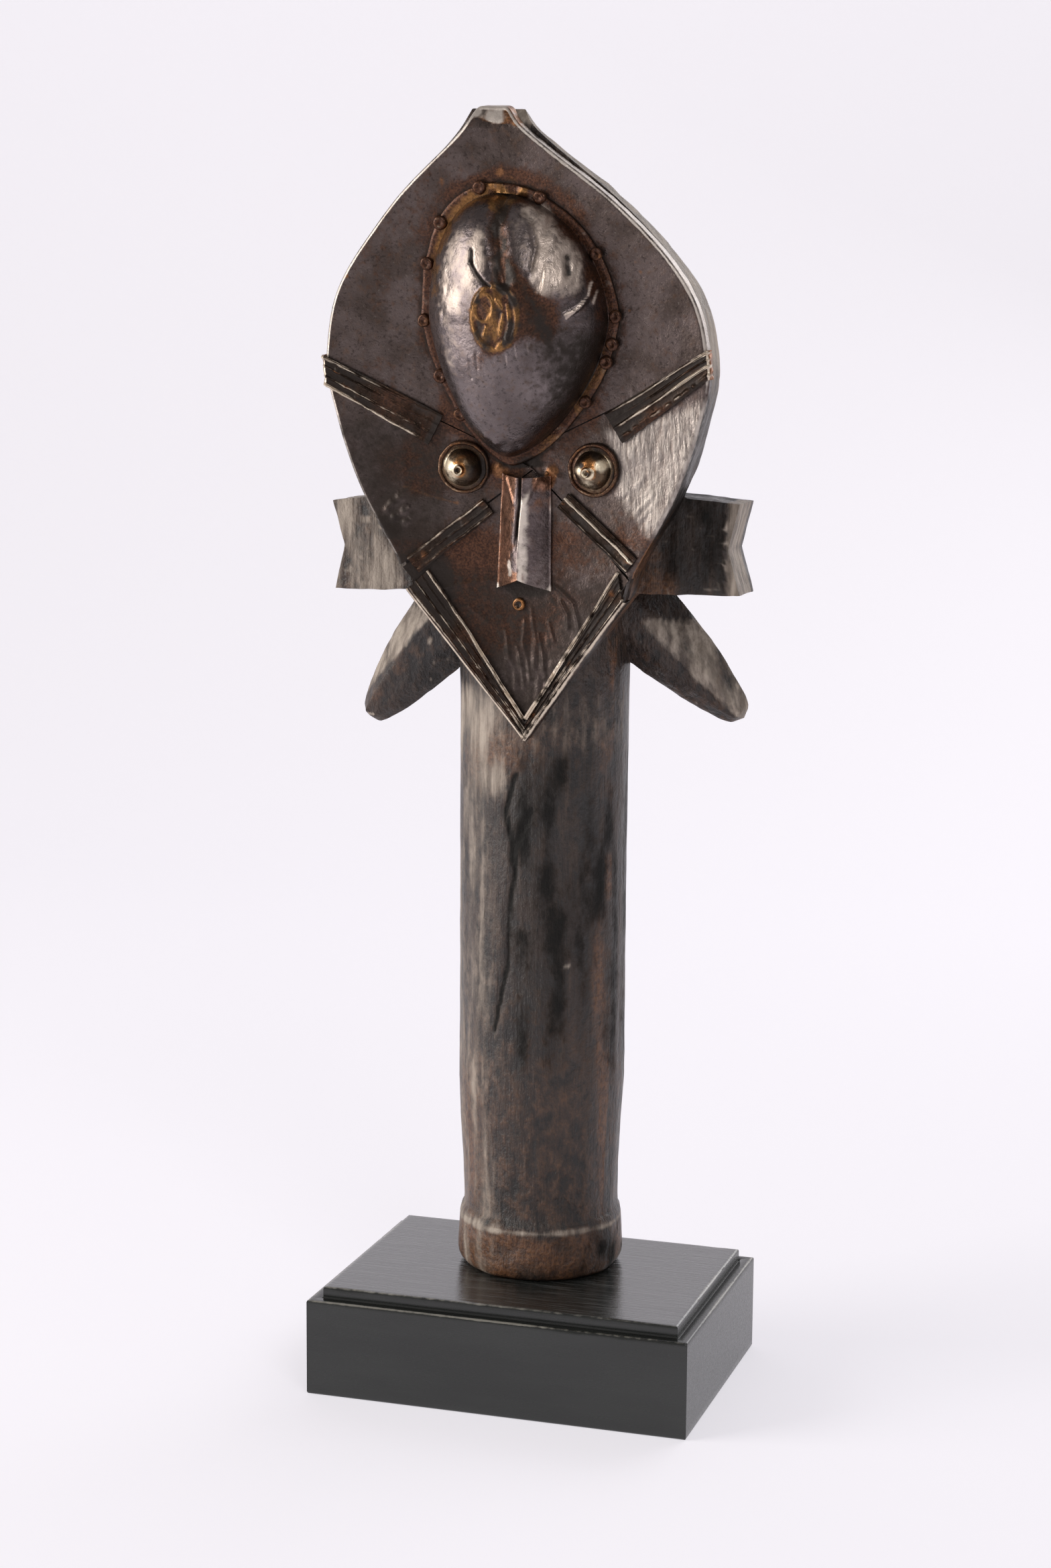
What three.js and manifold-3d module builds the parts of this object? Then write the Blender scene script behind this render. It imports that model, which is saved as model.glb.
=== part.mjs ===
// A carved wooden reliquary figure with a metal-clad, leaf-shaped face, on a stepped wooden display base.
// Millimetres, Z up. The figure faces -Y, and the origin is the centre of the base's underside.
// Left and right are as seen from the front.

import * as THREE from 'three';
import { mergeVertices } from 'three/addons/utils/BufferGeometryUtils.js';
import Module from 'manifold-3d';

const wasm = await Module();
wasm.setup();

const degrees = THREE.MathUtils.degToRad;

// Display base: a block with a lower step round its top
const BASE_WIDTH = 135;
const BASE_DEPTH = 95.6;
const BASE_BLOCK_HEIGHT = 33.6;
const BASE_STEP_HEIGHT = 3.9;
const BASE_STEP_INSET = 4.5;
const BASE_EDGE = 0.6;

// Neck: a round column with a foot ring, standing a little behind the middle of the base.
// All heights of the figure are measured from the top of the base.
const NECK_X = -1.7;
const NECK_Y = 10.8;
const NECK_HEIGHT = 285;
const NECK_RADIUS = 28.8;
const NECK_SHOULDER_RADIUS = 29.4;
const NECK_WAIST_RADIUS = 27.2;
const NECK_WAIST_RISE = 15;
const NECK_CROWN_HEIGHT = 42;
const FOOT_RING_HEIGHT = 21;
const FOOT_RING_RADIUS = 28.9;
const FOOT_RING_EDGE = 2.4;

// Head: a leaf-shaped block, wide at the brow, with a blunt tip and a chin in a V
const HEAD_X = -0.5;
const HEAD_Y = -22.8;
const CHIN_HEIGHT = 190.5;
const HEAD_HEIGHT = 206.5;
const HEAD_HALF_WIDTH = 65;
const HEAD_TIP_THICKNESS = 11;
const HEAD_JAW_THICKNESS = 28;
const HEAD_BACK_BULGE = 7;
const HEAD_TIP_FLARE = 4;
const HEAD_TILT = degrees(6);
const HEAD_ROLL = degrees(1.5);
const FACE_HOLLOW = 7;
const TIP_BEND = 5;
const TIP_BEND_SHARE = 0.965;
const FACE_SLAB_SHARE = 0.945;

// Boss: the egg-shaped forehead, pointed at its lower end. Its ends sway to the left with the square of
// their distance from its middle.
const BOSS_HALF_WIDTH = 33.4;
const BOSS_RISE = 43.5;
const BOSS_DROP = 48.3;
const BOSS_HEIGHT = 26.4;
const BOSS_RISE_SWAY = 0.0033;
const BOSS_DROP_SWAY = 0.0014;
// The boss's centre, as a share of the half width from the middle, and by how far its point clears the bridge.
const BOSS_ACROSS_SHARE = -0.014;
const BOSS_BRIDGE_GAP = 1.0535;

// Sheet metal. A plate lies GAP off the wood, and a strip GAP off the plates.
const SHEET = 0.8;
const GAP = 0.3;
const EDGE_GAP = 0.5;
const RIM_FOLD = 5;
const RIB_HEIGHT = 1;
const RIB_WIDTH = 1.5;
const CAP_FLANGE = 3.4;
const BROW_STRIP_WIDTH = 11.2;
const CHEEK_STRIP_WIDTH = 6.4;

// Nose, eyes, mouth and tacks
const NOSE_TOP_HALF_WIDTH = 8.4;
const NOSE_END_HALF_WIDTH = 9.4;
const NOSE_HEIGHT = 8.5;
const NOSE_END_CUT = 4.5;
const NOSE_SHEET = 1.1;
const EYE_DOME_RADIUS = 6;
const EYE_DOME_HEIGHT = 6.4;
const EYE_KNOB_RADIUS = 1.8;
const EYE_WASHER_RADIUS = 8.8;
const EYE_WASHER_BEAD = 0.7;
const TACK_RADIUS = 2.2;
const TACK_HEIGHT = 1.5;

// Side lobes: one bar behind the face, with a swallow-tail cut in each end. It leans a little against the head.
const LOBE_ROLL = degrees(-1);
const LOBE_REACH = 71.5;
const LOBE_THICKNESS = 20;
const LOBE_SETBACK = 14;
const LOBE_END_HEIGHT = 30.5;
const LOBE_TOP_FALL = 8;
const LOBE_NOTCH = 4;

// Horns: two blades that point down and out from under the lobes
const HORN_ROLL = degrees(-2.5);
const HORN_X = -3.6;
const HORN_SPREAD = 67;
const HORN_DROP = 53;
const HORN_SETBACK = 8;
const HORN_ROOT_HEIGHT = 247;
const HORN_ROOT_WIDTH = 32;
const HORN_TIP_WIDTH = 8.5;
const HORN_ROOT_THICKNESS = 22;
const HORN_TIP_THICKNESS = 8;

const SHEET_STACK = SHEET + GAP;
const BASE_HEIGHT = BASE_BLOCK_HEIGHT + BASE_STEP_HEIGHT;
const FOLD_ROOM = RIM_FOLD + SHEET_STACK;
const HEAD_SIDE_INSET = SHEET + EDGE_GAP;
const LEAST_HALF_WIDTH = 0.5;

// Outline of the head, as knots of [share of its height, share of its half width]
const JAW_KNOTS = [[0, 0.008], [0.236, 0.585]];
const RIM_KNOTS = [
  [0.285, 0.628],
  [0.406, 0.835],
  [0.534, 0.969],
  [0.61, 1],
  [0.726, 0.91],
  [0.853, 0.585],
  [0.965, 0.165],
  [1, 0.078],
];
const CENTRE_KNOTS = [[0, 0.035], [0.236, -0.02], [0.6, -0.028], [0.79, -0.043], [0.93, -0.112], [1, -0.15]];

// Places on the face, as [share of the half width from the middle, share of the head's height]
const BRIDGE_PLACE = [0.046, 0.436];
const NOSE_TOP_PLACE = [0.014, 0.429];
const NOSE_END_PLACE = [0.009, 0.245];
const MOUTH_PLACE = [-0.018, 0.22];
const CHIN_STRIP_END_SHARE = 0.04;
const CHIN_STRIP_TOP_SHARE = 0.238;
const JAW_CORNER_SHARE = 0.275;
const LOBE_SHARE = 0.307;
const SIDES = [
  {
    name: 'left',
    sign: -1,
    browRimShare: 0.585,
    browEnd: [-0.462, 0.494],
    browTurn: degrees(262),
    cheekStart: [-0.186, 0.376],
    cheekEnd: [-0.566, 0.278],
    chinStripTop: [-0.486, 0.271],
    eye: [-0.316, 0.437],
  },
  {
    name: 'right',
    sign: 1,
    browRimShare: 0.618,
    browEnd: [0.477, 0.511],
    browTurn: degrees(-78),
    cheekStart: [0.211, 0.392],
    cheekEnd: [0.589, 0.298],
    chinStripTop: [0.518, 0.288],
    eye: [0.374, 0.443],
  },
];
const BOSS_FOOT_TURN = degrees(270);
const TACK_TURNS = [99, 72, 38, 4, -12, -23, -48, 127, 150, 182, 216, 239].map(degrees);

const WOOD = new THREE.MeshStandardMaterial({ color: 0x3d302b, roughness: 0.45, metalness: 0 });
const BASE_WOOD = new THREE.MeshStandardMaterial({ color: 0x1d1f1e, roughness: 0.7, metalness: 0 });
const PLATE = new THREE.MeshStandardMaterial({ color: 0x4a3e3a, roughness: 0.4, metalness: 0.85 });
const CAP = new THREE.MeshStandardMaterial({ color: 0x5d5049, roughness: 0.3, metalness: 0.9 });
const STRIP = new THREE.MeshStandardMaterial({ color: 0x4d3a2c, roughness: 0.4, metalness: 0.85 });
const BRASS = new THREE.MeshStandardMaterial({ color: 0x7a6244, roughness: 0.3, metalness: 0.9 });

// Evenly spaced shares from 0 to 1.
function steps(count) {
  return Array.from({ length: count + 1 }, (_, i) => i / count);
}

// Angles once round a circle, the last one left out.
function turns(count) {
  return steps(count).slice(0, -1).map((share) => share * 2 * Math.PI);
}

// Smooth curve through knots of [position, value], read at one position.
function readKnots(knots, position) {
  const last = knots.length - 1;
  const slope = (a, b) => (knots[b][1] - knots[a][1]) / (knots[b][0] - knots[a][0]);
  let i = 0;
  while (i < last - 1 && position > knots[i + 1][0]) i += 1;
  const span = knots[i + 1][0] - knots[i][0];
  const t = THREE.MathUtils.clamp((position - knots[i][0]) / span, 0, 1);
  const startSlope = slope(Math.max(i - 1, 0), i + 1) * span;
  const endSlope = slope(i, Math.min(i + 2, last)) * span;
  const rise = knots[i + 1][1] - knots[i][1];
  const bend = 3 * rise - 2 * startSlope - endSlope;
  const twist = startSlope + endSlope - 2 * rise;
  return knots[i][1] + t * (startSlope + t * (bend + t * twist));
}

function geometryFrom(points, triangles) {
  const geometry = new THREE.BufferGeometry();
  const numbers = points.flatMap((point) => point.toArray());
  geometry.setAttribute('position', new THREE.Float32BufferAttribute(numbers, 3));
  let volume = 0;
  for (const [a, b, c] of triangles) {
    volume += points[a].dot(points[b].clone().cross(points[c]));
  }
  const facingOut = volume > 0 ? triangles : triangles.map(([a, b, c]) => [a, c, b]);
  geometry.setIndex(facingOut.flat());
  geometry.computeVertexNormals();
  return geometry;
}

// Closed solid between two grids of points with the same rows and columns.
function gridSolid(front, back) {
  const rows = front.length;
  const columns = front[0].length;
  const at = (side, i, j) => side * rows * columns + i * columns + j;
  const triangles = [];
  const quad = (a, b, c, d) => triangles.push([a, b, c], [a, c, d]);
  for (let i = 0; i < rows - 1; i += 1) {
    for (let j = 0; j < columns - 1; j += 1) {
      quad(at(0, i, j), at(0, i + 1, j), at(0, i + 1, j + 1), at(0, i, j + 1));
      quad(at(1, i, j), at(1, i, j + 1), at(1, i + 1, j + 1), at(1, i + 1, j));
    }
    quad(at(0, i, 0), at(1, i, 0), at(1, i + 1, 0), at(0, i + 1, 0));
    quad(at(0, i, columns - 1), at(0, i + 1, columns - 1), at(1, i + 1, columns - 1), at(1, i, columns - 1));
  }
  for (let j = 0; j < columns - 1; j += 1) {
    quad(at(0, 0, j), at(0, 0, j + 1), at(1, 0, j + 1), at(1, 0, j));
    quad(at(0, rows - 1, j), at(1, rows - 1, j), at(1, rows - 1, j + 1), at(0, rows - 1, j + 1));
  }
  return geometryFrom([...front.flat(), ...back.flat()], triangles);
}

// Closed solid through a stack of rings with the same number of points, ended by two poles.
function ringSolid(startPole, rings, endPole) {
  const around = rings[0].length;
  const at = (i, j) => 1 + i * around + (j % around);
  const endIndex = 1 + rings.length * around;
  const triangles = [];
  for (let j = 0; j < around; j += 1) {
    triangles.push([0, at(0, j + 1), at(0, j)]);
    for (let i = 0; i < rings.length - 1; i += 1) {
      triangles.push([at(i, j), at(i, j + 1), at(i + 1, j + 1)], [at(i, j), at(i + 1, j + 1), at(i + 1, j)]);
    }
    triangles.push([endIndex, at(rings.length - 1, j), at(rings.length - 1, j + 1)]);
  }
  return geometryFrom([startPole, ...rings.flat(), endPole], triangles);
}

function toManifold(geometry) {
  const bare = geometry.clone();
  bare.deleteAttribute('normal');
  bare.deleteAttribute('uv');
  const merged = mergeVertices(bare);
  return new wasm.Manifold(new wasm.Mesh({
    numProp: 3,
    vertProperties: new Float32Array(merged.attributes.position.array),
    triVerts: new Uint32Array(merged.index.array),
  }));
}

function joined(geometries) {
  const solid = geometries.map(toManifold).reduce((sum, next) => sum.add(next));
  const mesh = solid.getMesh();
  const geometry = new THREE.BufferGeometry();
  geometry.setAttribute('position', new THREE.BufferAttribute(new Float32Array(mesh.vertProperties), 3));
  geometry.setIndex(Array.from(mesh.triVerts));
  geometry.computeVertexNormals();
  return geometry;
}

function named(name, geometry, material) {
  const mesh = new THREE.Mesh(geometry, material);
  mesh.name = name;
  return mesh;
}

// The head has a frame of its own: x across the face, z up from the chin, y back from the rim.

function halfWidth(z) {
  const share = THREE.MathUtils.clamp(z / HEAD_HEIGHT, 0, 1);
  const jawTop = JAW_KNOTS[1];
  const rimStart = RIM_KNOTS[0];
  if (share <= jawTop[0]) return HEAD_HALF_WIDTH * readKnots(JAW_KNOTS, share);
  if (share >= rimStart[0]) return HEAD_HALF_WIDTH * readKnots(RIM_KNOTS, share);
  return HEAD_HALF_WIDTH * readKnots([jawTop, rimStart], share);
}

function centreLine(z) {
  return HEAD_HALF_WIDTH * readKnots(CENTRE_KNOTS, z / HEAD_HEIGHT);
}

// Point across the head: s runs from -1 on the left rim to 1 on the right one.
function acrossX(s, z, inset = 0) {
  return centreLine(z) + s * Math.max(halfWidth(z) - inset, LEAST_HALF_WIDTH);
}

// Height that keeps a slanting edge of the jaw an inset away from the chin's end.
function chinInset(inset) {
  const slope = (JAW_KNOTS[1][1] * HEAD_HALF_WIDTH) / (JAW_KNOTS[1][0] * HEAD_HEIGHT);
  return inset / slope;
}

// Depth of the rim: it lies in one plane, but the tip is bent back.
function rimY(z) {
  const bend = Math.max((z / HEAD_HEIGHT - TIP_BEND_SHARE) / (1 - TIP_BEND_SHARE), 0);
  return TIP_BEND * bend * bend;
}

// Depth of the plates' outer face: it is hollowed like a shallow dish behind the rim.
function faceY(x, z) {
  const height = THREE.MathUtils.clamp(z / HEAD_HEIGHT, 0, 1);
  const across = Math.min(Math.abs(x - centreLine(z)) / halfWidth(z), 1);
  return rimY(z) + FACE_HOLLOW * Math.sin(Math.PI * height) * (1 - across * across);
}

// Point on the face, raised above the plates' outer face.
function facePoint(x, z, raise) {
  return new THREE.Vector3(x, faceY(x, z) - raise, z);
}

// A place on the face, as a point [x, z].
function placed([acrossShare, heightShare]) {
  return new THREE.Vector2(acrossShare * HEAD_HALF_WIDTH, heightShare * HEAD_HEIGHT);
}

function headMatrix() {
  const turn = new THREE.Euler(HEAD_TILT, HEAD_ROLL, 0, 'XYZ');
  return new THREE.Matrix4().makeRotationFromEuler(turn).setPosition(HEAD_X, HEAD_Y, CHIN_HEIGHT);
}

// Display base

function baseTier(width, depth, low, high) {
  const x = width / 2 - BASE_EDGE;
  const y = depth / 2 - BASE_EDGE;
  const flat = new THREE.Shape();
  flat.moveTo(-x, -y).lineTo(x, -y).lineTo(x, y).lineTo(-x, y).closePath();
  const tier = new THREE.ExtrudeGeometry(flat, {
    depth: high - low - 2 * BASE_EDGE,
    bevelEnabled: true,
    bevelSize: BASE_EDGE,
    bevelThickness: BASE_EDGE,
    bevelSegments: 1,
  });
  return tier.translate(0, 0, low + BASE_EDGE);
}

function displayBase() {
  const stepWidth = BASE_WIDTH - 2 * BASE_STEP_INSET;
  const stepDepth = BASE_DEPTH - 2 * BASE_STEP_INSET;
  const sunk = BASE_BLOCK_HEIGHT / 2;
  return joined([
    baseTier(BASE_WIDTH, BASE_DEPTH, 0, BASE_BLOCK_HEIGHT),
    baseTier(stepWidth, stepDepth, sunk, BASE_HEIGHT),
  ]);
}

// Carved figure: neck, head block, boss, lobes and horns in one piece of wood

const NECK_SIDES = 28;
const CROWN_RINGS = 5;

function neck() {
  const crownStart = NECK_HEIGHT - NECK_CROWN_HEIGHT;
  const waist = FOOT_RING_HEIGHT + NECK_WAIST_RISE;
  const shaft = crownStart - waist;
  const profile = [
    [0, 0],
    [FOOT_RING_RADIUS - FOOT_RING_EDGE, 0],
    [FOOT_RING_RADIUS, FOOT_RING_EDGE],
    [FOOT_RING_RADIUS, FOOT_RING_HEIGHT - FOOT_RING_EDGE / 2],
    [NECK_WAIST_RADIUS, FOOT_RING_HEIGHT],
    [NECK_WAIST_RADIUS, waist],
    [NECK_RADIUS, waist + 0.15 * shaft],
    [NECK_RADIUS, waist + 0.7 * shaft],
  ].map(([radius, z]) => new THREE.Vector2(radius, z));
  for (const t of steps(CROWN_RINGS).slice(0, -1)) {
    const angle = t * Math.PI / 2;
    const z = crownStart + NECK_CROWN_HEIGHT * Math.sin(angle);
    profile.push(new THREE.Vector2(NECK_SHOULDER_RADIUS * Math.cos(angle), z));
  }
  profile.push(new THREE.Vector2(0, NECK_HEIGHT));
  const turned = new THREE.LatheGeometry(profile, NECK_SIDES);
  return turned.rotateX(Math.PI / 2).translate(NECK_X, NECK_Y, 0);
}

// The block tapers from the jaw to the tip, mostly over its upper half.
function headThickness(z) {
  return THREE.MathUtils.lerp(HEAD_JAW_THICKNESS, HEAD_TIP_THICKNESS, (z / HEAD_HEIGHT) ** 2);
}

// Near the tip the wood is wider behind than at the rim.
function tipFlare(z) {
  return EDGE_GAP + HEAD_TIP_FLARE * (z / HEAD_HEIGHT) ** 8;
}

const HEAD_JAW_ROWS = 5;
const HEAD_RIM_ROWS = 20;
const FACE_COLUMNS = 12;
const BACK_COLUMNS = 8;

// Slab of the head between two surfaces, each a function of x, z and the share s across it.
function headSlab(columns, high, inset, frontAt, backAt) {
  const low = chinInset(HEAD_SIDE_INSET + LEAST_HALF_WIDTH);
  const jawTop = JAW_KNOTS[1][0] * HEAD_HEIGHT;
  const rimStart = RIM_KNOTS[0][0] * HEAD_HEIGHT;
  const heights = [
    ...steps(HEAD_JAW_ROWS).map((t) => low + t * (jawTop - low)),
    ...steps(HEAD_RIM_ROWS).map((t) => rimStart + t * (high - rimStart)),
  ];
  const across = steps(columns).map((t) => 2 * t - 1);
  const surface = (at) => heights.map((z) => across.map((s) => at(acrossX(s, z, inset(z)), z, s)));
  return gridSolid(surface(frontAt), surface(backAt));
}

// The sheet is folded round this slab, and bent back over its upper end.
function faceSlab() {
  const high = FACE_SLAB_SHARE * HEAD_HEIGHT;
  const front = (x, z) => facePoint(x, z, -SHEET_STACK);
  const back = (x, z) => facePoint(x, z, -FOLD_ROOM - EDGE_GAP);
  return headSlab(FACE_COLUMNS, high, () => HEAD_SIDE_INSET, front, back);
}

function backSlab() {
  const front = (x, z) => facePoint(x, z, -FOLD_ROOM);
  const back = (x, z, s) => {
    const bulge = HEAD_BACK_BULGE * Math.sin(Math.PI * z / HEAD_HEIGHT) * (1 - s * s);
    return new THREE.Vector3(x, headThickness(z) + bulge, z);
  };
  const inset = (z) => HEAD_SIDE_INSET - tipFlare(z);
  return headSlab(BACK_COLUMNS, HEAD_HEIGHT - SHEET_STACK, inset, front, back);
}

// The boss stands on the bridge of the nose, and its centre follows from there.
function bossCentre() {
  const height = placed(BRIDGE_PLACE).y + BOSS_BRIDGE_GAP + BOSS_DROP;
  return new THREE.Vector2(BOSS_ACROSS_SHARE * HEAD_HALF_WIDTH, height);
}

// Egg outline of the boss about its centre: an ellipse above, and pointed below.
function bossOutline(turn, inset) {
  const c = Math.cos(turn);
  const s = Math.sin(turn);
  const sharpness = s > 0 ? 2 : 1.5;
  const reach = s > 0 ? BOSS_RISE : BOSS_DROP;
  const sway = s > 0 ? BOSS_RISE_SWAY : BOSS_DROP_SWAY;
  const share = (Math.abs(c) / BOSS_HALF_WIDTH) ** sharpness + (Math.abs(s) / reach) ** sharpness;
  const radius = share ** (-1 / sharpness) - inset;
  return new THREE.Vector2(radius * c - sway * (radius * s) ** 2, radius * s);
}

const BOSS_SIDES = 32;
const BOSS_RINGS = 6;
const BOSS_BLUNTNESS = 0.7;

// One ring of a dome over the boss, at a turn of 0 on its foot and of 90 degrees on its top.
// The dome's foot has an inset from the outline, and its height is above the carved face.
function bossRing(rise, inset, height, floor) {
  const centre = bossCentre();
  return turns(BOSS_SIDES).map((turn) => {
    const power = 2 / (2 + BOSS_BLUNTNESS * Math.max(-Math.sin(turn), 0));
    const spread = Math.cos(rise) ** power;
    const edge = bossOutline(turn, inset).multiplyScalar(spread).add(centre);
    return facePoint(edge.x, edge.y, Math.max(height * Math.sin(rise) ** power, floor) - SHEET_STACK);
  });
}

function bossPole(height) {
  const centre = bossCentre();
  return facePoint(centre.x, centre.y, height - SHEET_STACK);
}

function bossRises() {
  return steps(BOSS_RINGS).slice(0, -1).map((t) => t * Math.PI / 2);
}

function woodBoss() {
  const inset = CAP_FLANGE + SHEET_STACK;
  const sunk = HEAD_TIP_THICKNESS / 3;
  const rings = bossRises().map((rise) => bossRing(rise, inset, BOSS_HEIGHT, 0));
  const buried = rings[0].map((point) => point.clone().setY(point.y + sunk));
  return ringSolid(bossPole(-sunk), [buried, ...rings], bossPole(BOSS_HEIGHT));
}

function lobeBar() {
  const end = LOBE_END_HEIGHT / 2;
  const root = end + LOBE_TOP_FALL;
  const notch = LOBE_REACH - LOBE_NOTCH;
  const outline = new THREE.Shape();
  outline.moveTo(0, root).lineTo(LOBE_REACH, end).lineTo(notch, 0).lineTo(LOBE_REACH, -end);
  outline.lineTo(-LOBE_REACH, -end).lineTo(-notch, 0).lineTo(-LOBE_REACH, end).closePath();
  const bar = new THREE.ExtrudeGeometry(outline, { depth: LOBE_THICKNESS, bevelEnabled: false });
  bar.rotateX(Math.PI / 2).translate(0, LOBE_THICKNESS, 0).rotateY(LOBE_ROLL);
  return bar.translate(HEAD_X, HEAD_Y + LOBE_SETBACK, CHIN_HEIGHT + LOBE_SHARE * HEAD_HEIGHT);
}

// Section of a horn, as shares of its half width towards the outside and of its half thickness towards
// the back. A ridge runs down its front, and its back is rounded.
const HORN_SECTION = [[1, 0], [0.35, -1], [-0.4, -0.72], [-1, 0], [-0.7, 0.7], [0, 1], [0.7, 0.7]];
const HORN_RINGS = 6;

function horn(sign) {
  const root = new THREE.Vector3(sign * NECK_RADIUS * 0.55, NECK_Y, 0);
  const tip = new THREE.Vector3(sign * HORN_SPREAD, NECK_Y + HORN_SETBACK, -HORN_DROP);
  const along = tip.clone().sub(root);
  const outside = new THREE.Vector3(-sign * along.z, 0, sign * along.x).normalize();
  const rings = steps(HORN_RINGS).map((t) => {
    const swell = (1 - t ** 2.2) ** 0.8;
    const width = THREE.MathUtils.lerp(HORN_TIP_WIDTH, HORN_ROOT_WIDTH, swell) / 2;
    const thickness = THREE.MathUtils.lerp(HORN_TIP_THICKNESS, HORN_ROOT_THICKNESS, swell) / 2;
    return HORN_SECTION.map(([across, back]) => {
      const point = root.clone().addScaledVector(along, t).addScaledVector(outside, width * across);
      return point.setY(point.y + thickness * back);
    });
  });
  const end = tip.clone().addScaledVector(along.clone().normalize(), HORN_TIP_WIDTH / 3);
  const blade = ringSolid(root, rings, end);
  return blade.rotateY(HORN_ROLL).translate(HORN_X, 0, HORN_ROOT_HEIGHT);
}

function carvedFigure() {
  const head = headMatrix();
  return joined([
    neck(),
    faceSlab().applyMatrix4(head),
    backSlab().applyMatrix4(head),
    woodBoss().applyMatrix4(head),
    lobeBar(),
    horn(-1),
    horn(1),
  ]);
}

// Sheet metal: plates and strips in the head's frame

// A patch of sheet between two lines of [x, z] points, each a function of a share along it and an inset.
// heights are [share of the way from inner to outer, height of the upper face above the plates].
// A fold turns the outer edge back over the rim.
function sheetPatch({ inner, outer, along, heights, foot, fold = 0 }) {
  const rimInset = fold > 0 ? SHEET : 0;
  const upper = [];
  const under = [];
  for (const t of steps(along)) {
    const start = inner(t);
    const upperEnd = outer(t, 0);
    const underEnd = outer(t, rimInset);
    const upperRow = heights.map(([share, height]) => {
      const point = start.clone().lerp(upperEnd, share);
      return facePoint(point.x, point.y, height);
    });
    const underRow = heights.map(([share]) => {
      const point = start.clone().lerp(underEnd, share);
      return facePoint(point.x, point.y, foot);
    });
    if (fold > 0) {
      upperRow.push(new THREE.Vector3(upperEnd.x, rimY(upperEnd.y) + fold, upperEnd.y));
      underRow.push(new THREE.Vector3(underEnd.x, rimY(underEnd.y) + fold, underEnd.y));
    }
    upper.push(upperRow);
    under.push(underRow);
  }
  return gridSolid(upper, under);
}

function plateHeights(columns) {
  return steps(columns).map((share) => [share, 0]);
}

// Heights across a ribbed strip, with ribs at shares of its width.
function ribHeights(width, ribs) {
  const half = RIB_WIDTH / width / 2;
  const top = GAP + SHEET;
  return ribs.flatMap((rib) => {
    const middle = half + rib * (1 - 2 * half);
    return [[middle - half, top], [middle, top + RIB_HEIGHT], [middle + half, top]];
  });
}

function line(from, to) {
  return (t) => from.clone().lerp(to, t);
}

function rimPoint(side, z, inset) {
  return new THREE.Vector2(acrossX(side.sign, z, inset), z);
}

function bossPoint(turn, inset) {
  return bossOutline(turn, inset).add(bossCentre());
}

// The plates run in under the flange of the forehead cap, to a little way off its dome.
function plateBossPoint(turn) {
  return bossPoint(turn, CAP_FLANGE - EDGE_GAP);
}

const SEAM_TURN = degrees(0.6);
const CROWN_STEPS = 36;
const TIP_STEPS = 2;

// Along the rim from the left brow over the tip to the right brow.
function crownRim(t, inset) {
  const [left, right] = SIDES;
  const flank = (1 - TIP_STEPS / CROWN_STEPS) / 2;
  const top = HEAD_HEIGHT - inset;
  const onFlank = (side, share) => {
    const low = side.browRimShare * HEAD_HEIGHT + GAP;
    return rimPoint(side, THREE.MathUtils.lerp(low, top, share), inset);
  };
  if (t < flank) return onFlank(left, t / flank);
  if (t > 1 - flank) return onFlank(right, (1 - t) / flank);
  const across = (t - flank) / (1 - 2 * flank);
  return rimPoint(left, top, inset).lerp(rimPoint(right, top, inset), across);
}

function crownPlate() {
  const [left, right] = SIDES;
  const start = left.browTurn - SEAM_TURN;
  const end = right.browTurn + SEAM_TURN;
  return sheetPatch({
    inner: (t) => plateBossPoint(THREE.MathUtils.lerp(start, end, t)),
    outer: crownRim,
    along: CROWN_STEPS,
    heights: plateHeights(5),
    foot: -SHEET,
    fold: RIM_FOLD,
  });
}

const CHEEK_STEPS = 10;
const CHEEK_BOSS_SHARE = 0.7;

// From the brow round the foot of the boss, then down to the bridge of the nose.
function cheekInner(side) {
  const foot = BOSS_FOOT_TURN + side.sign * SEAM_TURN;
  const start = side.browTurn + side.sign * -SEAM_TURN;
  const end = side.sign > 0 ? foot - 2 * Math.PI : foot;
  const bridge = placed(BRIDGE_PLACE).add(new THREE.Vector2(side.sign * GAP, GAP));
  return (t) => {
    if (t <= CHEEK_BOSS_SHARE) return plateBossPoint(THREE.MathUtils.lerp(start, end, t / CHEEK_BOSS_SHARE));
    const share = (t - CHEEK_BOSS_SHARE) / (1 - CHEEK_BOSS_SHARE);
    return plateBossPoint(end).lerp(bridge, share);
  };
}

function cheekPlate(side) {
  const high = side.browRimShare * HEAD_HEIGHT - GAP;
  const low = JAW_CORNER_SHARE * HEAD_HEIGHT + GAP;
  return sheetPatch({
    inner: cheekInner(side),
    outer: (t, inset) => rimPoint(side, THREE.MathUtils.lerp(high, low, t), inset),
    along: CHEEK_STEPS,
    heights: plateHeights(5),
    foot: -SHEET,
    fold: RIM_FOLD,
  });
}

function chinPlate() {
  const high = JAW_CORNER_SHARE * HEAD_HEIGHT - GAP;
  const [left, right] = SIDES.map((side) => rimPoint(side, high, HEAD_SIDE_INSET));
  const bridge = placed(BRIDGE_PLACE);
  const chin = new THREE.Vector2(centreLine(0), chinInset(HEAD_SIDE_INSET + LEAST_HALF_WIDTH));
  const columns = 8;
  return sheetPatch({
    inner: line(bridge, right),
    outer: line(left, chin),
    along: columns,
    heights: plateHeights(columns),
    foot: -SHEET,
  });
}

// The line at an offset beside a line between two points, as seen from its start.
function beside(from, to, offset) {
  const along = to.clone().sub(from).normalize();
  const aside = new THREE.Vector2(-along.y, along.x).multiplyScalar(offset);
  return line(from.clone().add(aside), to.clone().add(aside));
}

const STRIP_STEPS = 6;

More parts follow.
